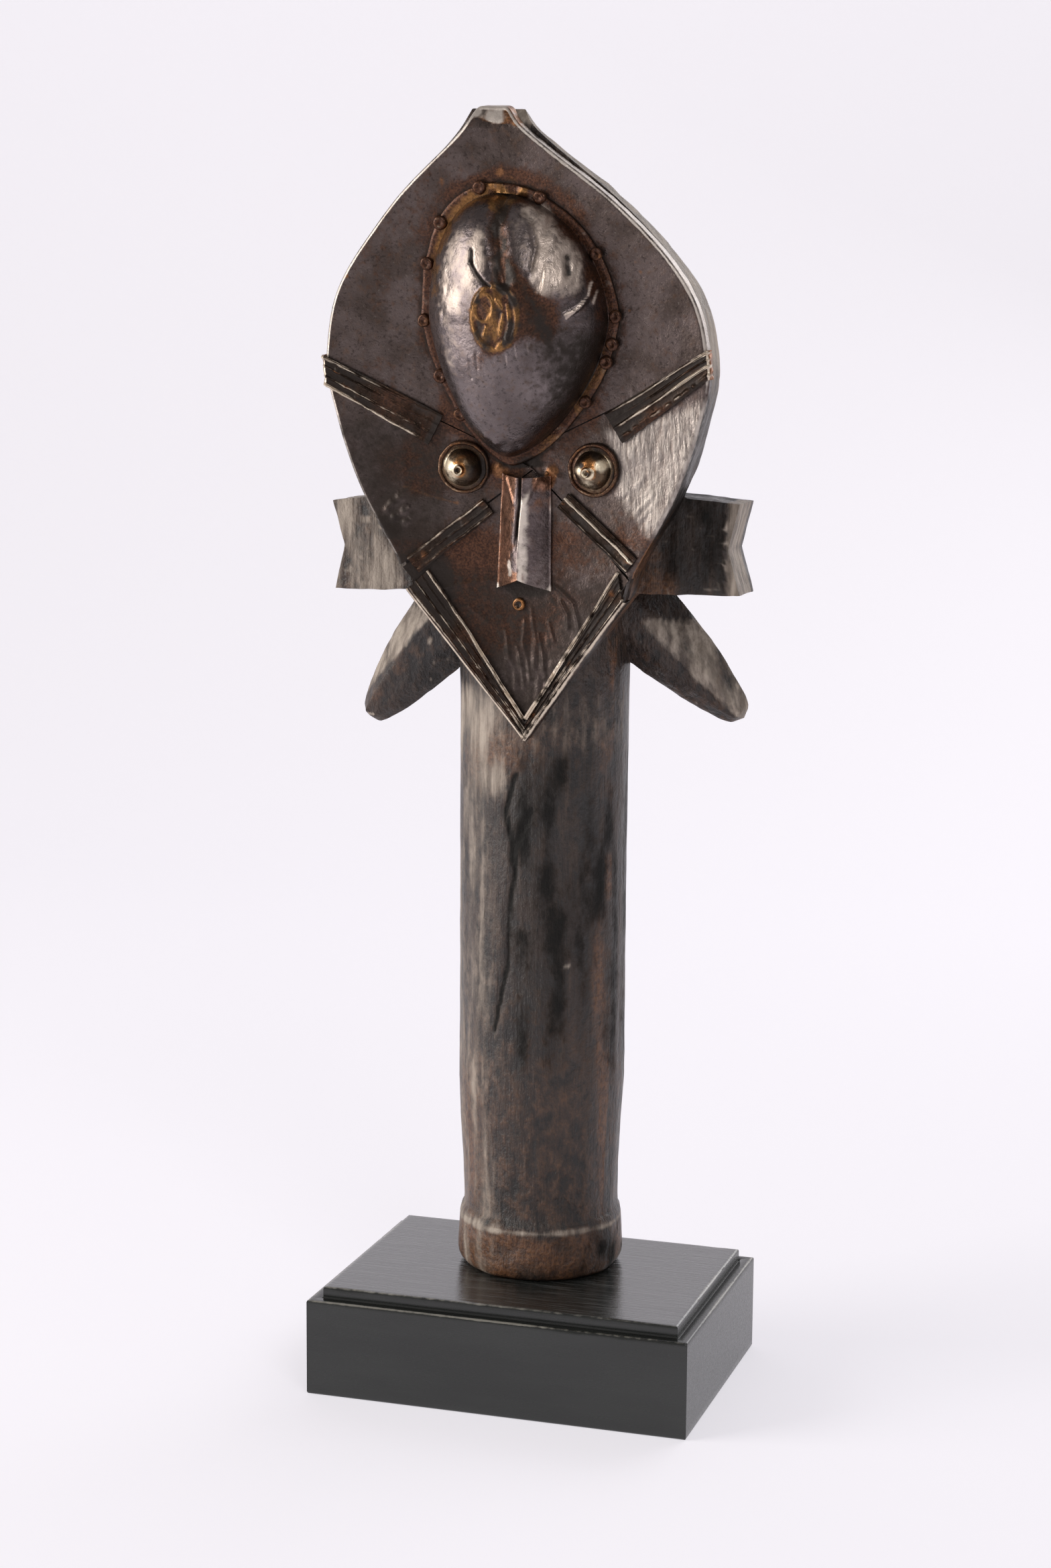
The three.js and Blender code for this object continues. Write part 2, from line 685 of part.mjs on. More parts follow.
// From the rim towards the boss, with its outer end cut to the rim.
function browStrip(side) {
  const half = BROW_STRIP_WIDTH / 2;
  const rim = rimPoint(side, side.browRimShare * HEAD_HEIGHT, 0);
  const end = placed(side.browEnd);
  const edge = (offset) => {
    const full = beside(rim, end, offset);
    const rimEnd = rimPoint(side, full(0).y, 0);
    return line(rimEnd, full(1));
  };
  return sheetPatch({
    inner: edge(-half),
    outer: edge(half),
    along: STRIP_STEPS,
    heights: ribHeights(BROW_STRIP_WIDTH, [0, 0.5, 1]),
    foot: GAP,
  });
}

// From beside the bridge of the nose to the corner of the jaw.
function cheekStrip(side) {
  const half = CHEEK_STRIP_WIDTH / 2;
  const start = placed(side.cheekStart);
  const end = placed(side.cheekEnd);
  return sheetPatch({
    inner: beside(start, end, -half),
    outer: beside(start, end, half),
    along: STRIP_STEPS,
    heights: ribHeights(CHEEK_STRIP_WIDTH, [0, 1]),
    foot: GAP,
  });
}

// Along the V of the chin, folded over the rim. The two strips meet in front of the chin.
function chinStrip(side) {
  const top = placed(side.chinStripTop);
  const chinX = centreLine(0) + side.sign * LEAST_HALF_WIDTH;
  const bottom = new THREE.Vector2(chinX, CHIN_STRIP_END_SHARE * HEAD_HEIGHT);
  const rimTop = CHIN_STRIP_TOP_SHARE * HEAD_HEIGHT;
  const width = top.distanceTo(rimPoint(side, rimTop, 0));
  return sheetPatch({
    inner: line(top, bottom),
    outer: (t, inset) => rimPoint(side, THREE.MathUtils.lerp(rimTop, chinInset(inset), t), inset),
    along: STRIP_STEPS,
    heights: ribHeights(width, [0, 0.65, 1]),
    foot: GAP,
    fold: RIM_FOLD,
  });
}

// The cap's flange lies on the plates.
function foreheadCap() {
  const wall = CAP_FLANGE;
  const flangeFoot = SHEET_STACK + GAP;
  const flangeTop = flangeFoot + SHEET;
  const rises = bossRises();
  const inner = rises.map((rise) => bossRing(rise, wall + SHEET, BOSS_HEIGHT + GAP, flangeFoot));
  const outer = rises.map((rise) => bossRing(rise, wall, BOSS_HEIGHT + SHEET_STACK, flangeTop));
  const flange = [bossRing(0, 0, 0, flangeFoot), bossRing(0, 0, 0, flangeTop)];
  const rings = [...inner.reverse(), ...flange, ...outer];
  return ringSolid(bossPole(BOSS_HEIGHT + GAP), rings, bossPole(BOSS_HEIGHT + SHEET_STACK));
}

const NOSE_COLUMNS = 8;
const NOSE_ROWS = 3;

// Folded sheet with a rounded ridge, open at its lower end, which is cut away in its middle.
function noseStrip() {
  const top = placed(NOSE_TOP_PLACE);
  const end = placed(NOSE_END_PLACE);
  const surface = (inset) => steps(NOSE_ROWS).map((t) => {
    const middle = top.clone().lerp(end, t);
    const half = THREE.MathUtils.lerp(NOSE_TOP_HALF_WIDTH, NOSE_END_HALF_WIDTH, t) - inset;
    return steps(NOSE_COLUMNS).map((share) => {
      const across = 2 * share - 1;
      const height = (NOSE_HEIGHT - inset) * (1 - Math.abs(across) ** 1.4);
      const cut = t * NOSE_END_CUT * (1 - Math.abs(across));
      return facePoint(middle.x + across * half, middle.y + cut, GAP + height);
    });
  });
  return gridSolid(surface(0), surface(NOSE_SHEET));
}

// Turned pieces, seated on the face with their axis square to it

const ROUND_SIDES = 18;
const TACK_SIDES = 10;

function seated(name, geometry, place, raise) {
  const step = 0.5;
  const slopeX = (faceY(place.x + step, place.y) - faceY(place.x - step, place.y)) / (2 * step);
  const slopeZ = (faceY(place.x, place.y + step) - faceY(place.x, place.y - step)) / (2 * step);
  const outward = new THREE.Vector3(slopeX, -1, slopeZ).normalize();
  const mesh = named(name, geometry, BRASS);
  mesh.quaternion.setFromUnitVectors(new THREE.Vector3(0, 1, 0), outward);
  mesh.position.copy(facePoint(place.x, place.y, 0)).addScaledVector(outward, raise);
  return mesh;
}

function turnedPiece(profile, sides) {
  return new THREE.LatheGeometry(profile.map(([radius, height]) => new THREE.Vector2(radius, height)), sides);
}

function eye() {
  const collar = EYE_DOME_HEIGHT - EYE_DOME_RADIUS;
  const bead = SHEET + EYE_WASHER_BEAD;
  const knobTurn = Math.asin(EYE_KNOB_RADIUS / EYE_DOME_RADIUS);
  const dome = steps(4).map((t) => {
    const turn = THREE.MathUtils.lerp(0, Math.PI / 2 - knobTurn, t);
    return [EYE_DOME_RADIUS * Math.cos(turn), SHEET + collar + EYE_DOME_RADIUS * Math.sin(turn)];
  });
  const knobFoot = dome.at(-1)[1];
  return turnedPiece([
    [0, 0],
    [EYE_WASHER_RADIUS, 0],
    [EYE_WASHER_RADIUS, SHEET],
    [EYE_WASHER_RADIUS - EYE_WASHER_BEAD, bead],
    [EYE_WASHER_RADIUS - 2 * EYE_WASHER_BEAD, SHEET],
    [EYE_DOME_RADIUS, SHEET],
    ...dome,
    [EYE_KNOB_RADIUS * 0.8, knobFoot + EYE_KNOB_RADIUS * 0.6],
    [0, knobFoot + EYE_KNOB_RADIUS * 0.8],
  ], ROUND_SIDES);
}

function tack() {
  return turnedPiece([
    [0, 0],
    [TACK_RADIUS, 0],
    [TACK_RADIUS * 0.9, TACK_HEIGHT * 0.55],
    [TACK_RADIUS * 0.5, TACK_HEIGHT * 0.92],
    [0, TACK_HEIGHT],
  ], TACK_SIDES);
}

// A tack with a dimple, like a small mouth.
function mouthTack() {
  return turnedPiece([
    [0, 0],
    [TACK_RADIUS, 0],
    [TACK_RADIUS * 0.8, TACK_HEIGHT * 0.6],
    [TACK_RADIUS * 0.5, TACK_HEIGHT * 0.6],
    [TACK_RADIUS * 0.3, TACK_HEIGHT * 0.2],
    [0, TACK_HEIGHT * 0.2],
  ], ROUND_SIDES);
}

// Room under a flat washer on the hollow face.
function seatingGap(radius) {
  const acrossCurve = 2 * FACE_HOLLOW / HEAD_HALF_WIDTH ** 2;
  return GAP + acrossCurve * radius ** 2;
}

function tacks() {
  const inset = CAP_FLANGE - TACK_RADIUS - EDGE_GAP;
  const flangeTop = GAP + SHEET;
  const geometry = tack();
  return TACK_TURNS.map((turn, i) => {
    return seated(`cap_tack_${i + 1}`, geometry, bossPoint(turn, inset), flangeTop + seatingGap(TACK_RADIUS));
  });
}

function metalwork() {
  const group = new THREE.Group();
  group.applyMatrix4(headMatrix());
  group.add(named('crown_plate', crownPlate(), PLATE));
  group.add(named('chin_plate', chinPlate(), PLATE));
  group.add(named('forehead_cap', foreheadCap(), CAP));
  group.add(named('nose_strip', noseStrip(), STRIP));
  for (const side of SIDES) {
    group.add(named(`cheek_plate_${side.name}`, cheekPlate(side), PLATE));
    group.add(named(`brow_strip_${side.name}`, browStrip(side), STRIP));
    group.add(named(`cheek_strip_${side.name}`, cheekStrip(side), STRIP));
    group.add(named(`chin_strip_${side.name}`, chinStrip(side), STRIP));
    group.add(seated(`eye_${side.name}`, eye(), placed(side.eye), seatingGap(EYE_WASHER_RADIUS)));
  }
  group.add(seated('mouth_tack', mouthTack(), placed(MOUTH_PLACE), seatingGap(TACK_RADIUS)));
  group.add(...tacks());
  return group;
}

function reliquaryFigure() {
  const figure = new THREE.Group();
  figure.position.z = BASE_HEIGHT;
  figure.add(named('carved_figure', carvedFigure(), WOOD), metalwork());
  const whole = new THREE.Group();
  whole.add(named('display_base', displayBase(), BASE_WOOD), figure);
  return whole;
}

export default reliquaryFigure();
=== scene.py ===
"""The looks of a carved reliquary figure with a metal-clad face, on its display base.

Pieces are made in millimetres with the sizes of the solids, and set down in metres. The face has a frame of
its own: x across it, z up from the chin and y back from its rim. Left and right are as seen from the front.
"""

import itertools
import math

import bpy
import numpy as np
from mathutils import Matrix, Vector


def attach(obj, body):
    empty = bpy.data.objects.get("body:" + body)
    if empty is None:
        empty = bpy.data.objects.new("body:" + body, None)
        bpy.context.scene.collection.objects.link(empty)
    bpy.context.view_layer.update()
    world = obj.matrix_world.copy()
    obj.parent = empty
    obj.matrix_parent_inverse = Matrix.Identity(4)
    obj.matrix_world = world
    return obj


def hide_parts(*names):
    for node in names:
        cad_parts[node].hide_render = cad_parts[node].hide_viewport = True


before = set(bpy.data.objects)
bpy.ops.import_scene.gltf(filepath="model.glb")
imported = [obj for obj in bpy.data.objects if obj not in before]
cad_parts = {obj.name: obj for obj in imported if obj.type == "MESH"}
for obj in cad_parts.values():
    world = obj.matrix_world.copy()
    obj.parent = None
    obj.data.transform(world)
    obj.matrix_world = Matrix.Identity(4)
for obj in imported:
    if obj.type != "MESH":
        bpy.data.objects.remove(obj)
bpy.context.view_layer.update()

MM = 0.001
FINE = 0.96

# Head, as in the solids
BASE_HEIGHT = 37.5
HEAD_PLACE = (-0.5, -22.8, 190.5)
HEAD_HEIGHT = 206.5
HEAD_HALF_WIDTH = 65
HEAD_TILT = math.radians(6)
HEAD_ROLL = math.radians(1.5)
FACE_HOLLOW = 7
TIP_BEND = 5
TIP_BEND_SHARE = 0.965
JAW_KNOTS = [(0, 0.008), (0.236, 0.585)]
RIM_KNOTS = [
    (0.285, 0.628), (0.406, 0.835), (0.534, 0.969), (0.61, 1),
    (0.726, 0.91), (0.853, 0.585), (0.965, 0.165), (1, 0.078),
]
CENTRE_KNOTS = [(0, 0.035), (0.236, -0.02), (0.6, -0.028), (0.79, -0.043), (0.93, -0.112), (1, -0.15)]
LEAST_HALF_WIDTH = 0.5

# Boss and its cap
BOSS_HALF_WIDTH = 33.4
BOSS_RISE = 43.5
BOSS_DROP = 48.3
BOSS_HEIGHT = 26.4
BOSS_RISE_SWAY = 0.0033
BOSS_DROP_SWAY = 0.0014
BOSS_BLUNTNESS = 0.7
BOSS_PLACE = (-0.014, 0.675)
BOSS_FOOT_TURN = math.radians(270)
TACK_TURNS = np.radians([99, 72, 38, 4, -12, -23, -48, 127, 150, 182, 216, 239])

# Sheet metal
SHEET = 0.8
GAP = 0.3
EDGE_GAP = 0.5
SHEET_STACK = SHEET + GAP
HEAD_SIDE_INSET = SHEET + EDGE_GAP
RIM_FOLD = 5
RIM_ROUND = 1.2
RIB_HEIGHT = 1
CAP_FLANGE = 3.4
BROW_STRIP_WIDTH = 11.2
CHEEK_STRIP_WIDTH = 6.4
SEAM_TURN = math.radians(0.6)
BRIDGE_PLACE = (0.046, 0.436)
CHIN_STRIP_END_SHARE = 0.04
CHIN_STRIP_TOP_SHARE = 0.238
JAW_CORNER_SHARE = 0.275
SIDES = {
    "left": {
        "sign": -1, "brow_rim": 0.585, "brow_end": (-0.462, 0.494), "brow_turn": math.radians(262),
        "cheek_start": (-0.186, 0.376), "cheek_end": (-0.566, 0.278), "chin_top": (-0.486, 0.271),
        "eye": (-0.316, 0.437),
    },
    "right": {
        "sign": 1, "brow_rim": 0.618, "brow_end": (0.477, 0.511), "brow_turn": math.radians(-78),
        "cheek_start": (0.211, 0.392), "cheek_end": (0.589, 0.298), "chin_top": (0.518, 0.288),
        "eye": (0.374, 0.443),
    },
}

# Nose, eyes, mouth and tacks
NOSE_TOP_PLACE = (0.014, 0.429)
NOSE_END_PLACE = (0.009, 0.245)
NOSE_TOP_HALF_WIDTH = 8.4
NOSE_END_HALF_WIDTH = 9.4
NOSE_HEIGHT = 8.5
NOSE_END_CUT = 4.5
NOSE_SHEET = 1.1
MOUTH_PLACE = (-0.018, 0.22)
EYE_DOME_RADIUS = 6
EYE_DOME_HEIGHT = 6.4
EYE_KNOB_RADIUS = 1.8
EYE_WASHER_RADIUS = 8.8
EYE_WASHER_BEAD = 0.7
TACK_RADIUS = 2.2
TACK_HEIGHT = 1.5

# Base
BASE_WIDTH = 135
BASE_DEPTH = 95.6
BASE_BLOCK_HEIGHT = 33.6
BASE_STEP_INSET = 4.5
BASE_MEAN_HALF_SIZE = 60
BASE_SIDE_POINTS = 90

# Wood of the figure, its heights measured from the base's top
NECK_X = -1.7
NECK_Y = 10.8
NECK_RADIUS = 28.8
NECK_TOP = 285
NECK_CROWN_START = 243
NECK_SHOULDER_RADIUS = 29.4
NECK_PROFILE = [
    (0, 25.6), (0.5, 26.8), (1.6, 27.9), (3.2, 28.6), (5, 28.9), (17.9, 28.9), (18.5, 28.65), (20.4, 28),
    (20.9, 27.5), (21.1, 27.1), (24, 27), (36, 27.2), (67, 28.8), (181, 28.8), (NECK_CROWN_START, 29.4),
]
HEAD_TIP_THICKNESS = 11
HEAD_JAW_THICKNESS = 28
HEAD_BACK_BULGE = 7
HEAD_BACK_ROUNDING = 2.2
HEAD_TIP_FLARE = 4
FACE_SLAB_SHARE = 0.945
LOBE_ROLL = math.radians(-1)
LOBE_REACH = 71.5
LOBE_THICKNESS = 20
LOBE_SETBACK = 14
LOBE_END_HEIGHT = 30.5
LOBE_TOP_FALL = 8
LOBE_NOTCH = 4
LOBE_SHARE = 0.307
HORN_ROLL = math.radians(-2.5)
HORN_X = -3.6
HORN_SPREAD = 67
HORN_DROP = 53
HORN_SETBACK = 8
HORN_ROOT_HEIGHT = 247
HORN_ROOT_SHARE = 0.55
HORN_RINGS = 56
HORN_ROOT_WIDTH = 32
HORN_TIP_WIDTH = 8.5
HORN_ROOT_THICKNESS = 22
HORN_TIP_THICKNESS = 8
HORN_SECTION = [(1, 0), (0.35, -1), (-0.4, -0.72), (-1, 0), (-0.7, 0.7), (0, 1), (0.7, 0.7)]


# Numbers and noise

# Odd factors that scramble a cell's numbers and its seed, which wrap round at 32 bits
CELL_FACTORS = np.array((73856093, 19349663, 83492791), np.uint32)
SEED_FACTOR = 7919
SEED_START = 11
FIRST_SCRAMBLE = np.uint32(2246822519)
SECOND_SCRAMBLE = np.uint32(3266489917)
LATTICE_TOP = 0xFFFF


def lattice(cell, seed):
    """A repeatable number from 0 to 1 for each whole-number cell."""
    mixed = np.bitwise_xor.reduce(cell.astype(np.int64).astype(np.uint32) * CELL_FACTORS, -1)
    mixed = (mixed ^ np.uint32(seed * SEED_FACTOR + SEED_START)) * FIRST_SCRAMBLE
    mixed = (mixed ^ (mixed >> np.uint32(15))) * SECOND_SCRAMBLE
    return ((mixed >> np.uint32(8)) & np.uint32(LATTICE_TOP)) / float(LATTICE_TOP)


def noise(points, size, seed):
    """Smooth noise from -1 to 1, with lumps of a size that is one number or one for each axis."""
    places = points / np.asarray(size, float)
    cell = np.floor(places)
    part = places - cell
    part = part * part * (3 - 2 * part)
    total = 0
    for corner in itertools.product((0, 1), repeat=3):
        weight = np.where(np.array(corner) == 1, part, 1 - part).prod(-1)
        total = total + weight * lattice(cell + corner, seed)
    return 2 * total - 1


def rough(points, size, seed):
    """Noise of three sizes, each half the last and half as strong."""
    layers = [noise(points, np.asarray(size, float) / n, seed + i) / n for i, n in enumerate((1, 2, 4))]
    return sum(layers) / 1.5


def smoothstep(low, high, value):
    t = np.clip((value - low) / (high - low), 0, 1)
    return t * t * (3 - 2 * t)


def bell(value):
    """1 where a value is 0, falling off softly on both sides."""
    return np.exp(-(value ** 2))


def flat_points(x, z):
    return np.stack([x, np.zeros_like(x), z], -1)


def blob(x, z, place, radius, length=None, turn=0.0):
    """A soft spot that is 1 at its middle; with a length it is an oval, turned from upright."""
    across, up = x - place[0], z - place[1]
    c, s = math.cos(turn), math.sin(turn)
    side, along = across * c + up * s, up * c - across * s
    return np.exp(-((side / radius) ** 2) - (along / (length or radius)) ** 2)


def line_gap(x, z, points):
    """Distance to a line through points, and the share of its length at the nearest one."""
    points = np.array(points, float)
    lengths = np.hypot(*np.diff(points, axis=0).T)
    best = np.full(np.shape(x), np.inf)
    share = np.zeros(np.shape(x))
    gone = 0
    for (ax, az), (bx, bz), length in zip(points[:-1], points[1:], lengths):
        t = np.clip(((x - ax) * (bx - ax) + (z - az) * (bz - az)) / length ** 2, 0, 1)
        away = np.hypot(x - ax - t * (bx - ax), z - az - t * (bz - az))
        share = np.where(away < best, (gone + t * length) / lengths.sum(), share)
        best = np.minimum(away, best)
        gone += length
    return best, share


def stroke(x, z, points, width):
    """A soft line that is 1 along its middle."""
    return bell(line_gap(x, z, points)[0] / width)


def loop(x, z, middle, across, up, width):
    """A soft oval line round a middle."""
    away = np.hypot((x - middle[0]) / across, (z - middle[1]) / up) - 1
    return bell(away * min(across, up) / width)


def region(x, z, outline, soft):
    """A patch that is 1 inside a closed outline, with a soft edge."""
    ring = outline + outline[:1]
    inside = np.zeros(np.shape(x), bool)
    for (ax, az), (bx, bz) in zip(ring[:-1], ring[1:]):
        inside ^= ((az > z) != (bz > z)) & (x < ax + (z - az) * (bx - ax) / (bz - az or 1))
    away = line_gap(x, z, ring)[0]
    return smoothstep(-soft, soft, np.where(inside, away, -away))


def marked(x, z, marks):
    """Sum of soft marks: each is a strength, a width and one place for a spot, or more for a line."""
    total = 0 * x
    for strength, width, *places in marks:
        shape = blob(x, z, places[0], width) if len(places) == 1 else stroke(x, z, places, width)
        total = total + strength * shape
    return total


def dots(strength, width, places):
    """Marks of one kind, with a spot at each place."""
    return [(strength, width, place) for place in places]


def traces(strength, width, paths):
    """Marks of one kind, with a line along each path."""
    return [(strength, width, *path) for path in paths]


# The head's own frame

def read_knots(knots, position):
    """Smooth curve through knots of (position, value)."""
    at, value = np.array(knots, float).T
    last = len(at) - 1
    position = np.asarray(position, float)
    i = np.searchsorted(at[1:-1], position, side="left")

    def slope(a, b):
        return (value[b] - value[a]) / (at[b] - at[a])

    span = at[i + 1] - at[i]
    t = np.clip((position - at[i]) / span, 0, 1)
    start_slope = slope(np.maximum(i - 1, 0), i + 1) * span
    end_slope = slope(i, np.minimum(i + 2, last)) * span
    rise = value[i + 1] - value[i]
    bend = 3 * rise - 2 * start_slope - end_slope
    twist = start_slope + end_slope - 2 * rise
    return value[i] + t * (start_slope + t * (bend + t * twist))


def half_width(z):
    share = np.clip(np.asarray(z, float) / HEAD_HEIGHT, 0, 1)
    jaw_top, rim_start = JAW_KNOTS[1], RIM_KNOTS[0]
    between = read_knots([jaw_top, rim_start], share)
    width = np.where(share >= rim_start[0], read_knots(RIM_KNOTS, share), between)
    return HEAD_HALF_WIDTH * np.where(share <= jaw_top[0], read_knots(JAW_KNOTS, share), width)


def centre_line(z):
    return HEAD_HALF_WIDTH * read_knots(CENTRE_KNOTS, np.asarray(z, float) / HEAD_HEIGHT)


def rim_y(z):
    bend = np.maximum((z / HEAD_HEIGHT - TIP_BEND_SHARE) / (1 - TIP_BEND_SHARE), 0)
    return TIP_BEND * bend * bend


def face_y(x, z):
    height = np.clip(z / HEAD_HEIGHT, 0, 1)
    across = np.minimum(np.abs(x - centre_line(z)) / half_width(z), 1)
    return rim_y(z) + FACE_HOLLOW * np.sin(np.pi * height) * (1 - across * across)


def unevenness(x, z):
    """Height of the hand-beaten face over a true one, which every sheet on it follows."""
    places = flat_points(x, z)
    return 0.32 * noise(places, 21, 1) + 0.14 * noise(places, 9, 2)


def face_point(x, z, height):
    """Points raised above the plates' outer face."""
    return np.stack([x, face_y(x, z) - height - unevenness(x, z), z + np.zeros_like(x)], -1)


def placed(place):
    return np.array([place[0] * HEAD_HALF_WIDTH, place[1] * HEAD_HEIGHT])


def chin_inset(inset):
    slope = (JAW_KNOTS[1][1] * HEAD_HALF_WIDTH) / (JAW_KNOTS[1][0] * HEAD_HEIGHT)
    return inset / slope


def rim_point(side, z, inset=0.0):
    across = np.maximum(half_width(z) - inset, LEAST_HALF_WIDTH)
    return np.stack([centre_line(z) + side["sign"] * across, z + np.zeros_like(across)], -1)


HEAD_TURN = Matrix.Rotation(HEAD_TILT, 3, "X") @ Matrix.Rotation(HEAD_ROLL, 3, "Y")
HEAD_ORIGIN = Vector(HEAD_PLACE) + Vector((0, 0, BASE_HEIGHT))


def head_to_world(points):
    return (points @ np.array(HEAD_TURN).T + np.array(HEAD_ORIGIN)) * MM


def world_to_head(points):
    return (points / MM - np.array(HEAD_ORIGIN)) @ np.array(HEAD_TURN)


# Meshes

SHARP_ANGLE = math.radians(50)


def new_piece(name, points, faces, slot, node, paint):
    """A finished piece in world metres, with its paint as soft spots on the points."""
    mesh = bpy.data.meshes.new(name)
    mesh.from_pydata(points.tolist(), [], [tuple(face) for face in faces])
    mesh.update()
    for spot, values in paint.items():
        layer = mesh.attributes.new(spot, "FLOAT", "POINT")
        layer.data.foreach_set("value", np.clip(values, 0, 1).astype(np.float32).ravel())
    mesh.materials.append(MATERIALS[slot])
    mesh.shade_smooth()
    mesh.set_sharp_from_angle(angle=SHARP_ANGLE)
    piece = bpy.data.objects.new(name, mesh)
    bpy.context.scene.collection.objects.link(piece)
    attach(piece, "root")
    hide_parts(node)


def facing_out(points, faces):
    """The same faces, turned where needed so that the closed mesh faces out."""
    a, b, c = points[faces[:, 0]], points[faces[:, 1]], points[faces[:, 2]]
    volume = (a * np.cross(b, c)).sum()
    if faces.shape[1] == 4:
        volume += (a * np.cross(c, points[faces[:, 3]])).sum()
    return faces if volume > 0 else faces[:, ::-1]


def band(first, second):
    """Quads between two rows of point numbers."""
    return np.stack([first[:-1], first[1:], second[1:], second[:-1]], -1)


def grid_normals(grid):
    along = np.gradient(grid, axis=0)
    across = np.gradient(grid, axis=1)
    normals = np.cross(along, across)
    normals /= np.maximum(np.linalg.norm(normals, axis=-1, keepdims=True), 1e-9)
    return normals if normals[..., 1].mean() < 0 else -normals


def sheet_solid(upper, thickness):
    """Points and faces of a closed sheet below an upper grid."""
    rows, columns = upper.shape[:2]
    under = upper - grid_normals(upper) * thickness
    points = np.concatenate([upper.reshape(-1, 3), under.reshape(-1, 3)])
    top = np.arange(rows * columns).reshape(rows, columns)
    low = top + rows * columns
    faces = [band(top[i], top[i + 1]) for i in range(rows - 1)]
    faces += [band(low[i + 1], low[i]) for i in range(rows - 1)]
    faces += [band(low[0], top[0]), band(top[-1], low[-1])]
    faces += [band(top[:, 0], low[:, 0]), band(low[:, -1], top[:, -1])]
    faces = np.concatenate(faces)
    return points, facing_out(points, faces)


def sheet_piece(name, upper, paint, slot, thickness=SHEET):
    points, faces = sheet_solid(upper, thickness)
    doubled = {spot: np.tile(values.ravel(), 2) for spot, values in paint.items()}
    new_piece(name, head_to_world(points), faces, slot, name, doubled)


def ring_solid(rings, start, end):
    """Points and faces of a closed solid through rings of points, between two poles."""
    around = rings.shape[1]
    points = np.concatenate([start[None], rings.reshape(-1, 3), end[None]])
    numbers = 1 + np.arange(rings.shape[0] * around).reshape(-1, around)
    numbers = np.concatenate([numbers, numbers[:, :1]], axis=1)
    faces = np.concatenate([band(a, b) for a, b in zip(numbers[:-1], numbers[1:])])
    last = len(points) - 1
    caps = []
    for j in range(around):
        caps.append([0, numbers[0, j + 1], numbers[0, j]])
        caps.append([last, numbers[-1, j], numbers[-1, j + 1]])
    triangles = np.concatenate([faces[:, [0, 1, 2]], faces[:, [0, 2, 3]], caps])
    return points, facing_out(points, triangles)


# Materials

def node(tree, kind, **values):
    made = tree.nodes.new(kind)
    for name, value in values.items():
        if name in made.inputs:
            made.inputs[name].default_value = value
        else:
            setattr(made, name, value)
    return made


class Recipe:
    """A material's node tree, built step by step."""

    def __init__(self, name):
        self.material = bpy.data.materials.new(name)
        self.material.use_nodes = True
        self.tree = self.material.node_tree
        self.shader = self.tree.nodes["Principled BSDF"]
        self.places = node(self.tree, "ShaderNodeTexCoord").outputs["Object"]

    def noise(self, size, detail=3.0, stretch=(1, 1, 1), roughness=0.55):
        """Noise from 0 to 1 with lumps of a size in millimetres, drawn out along an axis by its stretch."""
        mapping = node(self.tree, "ShaderNodeMapping")
        mapping.inputs["Scale"].default_value = [1 / (size * MM * s) for s in stretch]
        self.tree.links.new(self.places, mapping.inputs["Vector"])
        made = node(self.tree, "ShaderNodeTexNoise", Scale=1.0, Detail=detail, Roughness=roughness)
        self.tree.links.new(mapping.outputs["Vector"], made.inputs["Vector"])
        return made.outputs["Fac"]

    def spot(self, name):
        return node(self.tree, "ShaderNodeAttribute", attribute_name=name).outputs["Fac"]

    def math(self, operation, *values):
        made = node(self.tree, "ShaderNodeMath", operation=operation)
        for socket, value in zip(made.inputs, values):
            self.feed(value, socket)
        return made.outputs[0]

    def product(self, first, second):
        return self.math("MULTIPLY", first, second)

    def scaled(self, value, factor, start):
        return self.math("MULTIPLY_ADD", value, factor, start)

    def ramp(self, value, low, high, start=0.0, end=1.0):
        made = node(self.tree, "ShaderNodeMapRange", interpolation_type="SMOOTHSTEP")
        made.clamp = True
        for name, amount in (("From Min", low), ("From Max", high), ("To Min", start), ("To Max", end)):
            made.inputs[name].default_value = amount
        self.feed(value, made.inputs["Value"])
        return made.outputs["Result"]

    def mix(self, share, first, second):
        made = node(self.tree, "ShaderNodeMix", data_type="RGBA")
        self.feed(share, made.inputs["Factor"])
        for value, socket in ((first, made.inputs[6]), (second, made.inputs[7])):
            self.feed(value, socket)
        return made.outputs[2]

    def layered(self, colour, *layers):
        """A colour with layers of (share, tone) laid over it in turn."""
        for share, tone in layers:
            colour = self.mix(share, colour, tone)
        return colour

    def spotted(self, name, ragged, breadth, low, high):
        """Painted spots from 0 to 1, with their edges broken up by noise over a breadth."""
        edge = self.scaled(ragged, breadth, -breadth / 2)
        return self.ramp(self.math("ADD", self.spot(name), edge), low, high)

    def feed(self, value, socket):
        if isinstance(value, bpy.types.NodeSocket):
            self.tree.links.new(value, socket)
        elif isinstance(value, tuple):
            socket.default_value = (*value, 1.0)
        else:
            socket.default_value = value

    def set(self, **values):
        for name, value in values.items():
            self.feed(value, self.shader.inputs[name.replace("_", " ")])

    def bump(self, *layers):
        """Relief from layers of (height from 0 to 1, its depth in millimetres)."""
        normal = None
        for height, depth in layers:
            made = node(self.tree, "ShaderNodeBump", Strength=1.0, Distance=depth * MM)
            self.feed(height, made.inputs["Height"])
            if normal is not None:
                self.tree.links.new(normal, made.inputs["Normal"])
            normal = made.outputs["Normal"]
        self.tree.links.new(normal, self.shader.inputs["Normal"])


RUST_TONES = (0.035, 0.014, 0.008), (0.1, 0.042, 0.022)
# Colour of grime and of painted shade
GRIME_AND_SHADE_TONE = (0.017, 0.01, 0.0065)
SHEET_RAGGEDNESS = 0.9
SHEET_SPOTS = [("bright", 0.25, 0.9), ("warm", 0.25, 0.8), ("rust", 0.2, 0.8), ("grime", 0.2, 0.8)]


def dimmed(tone, share):
    return tuple(share * value for value in tone)


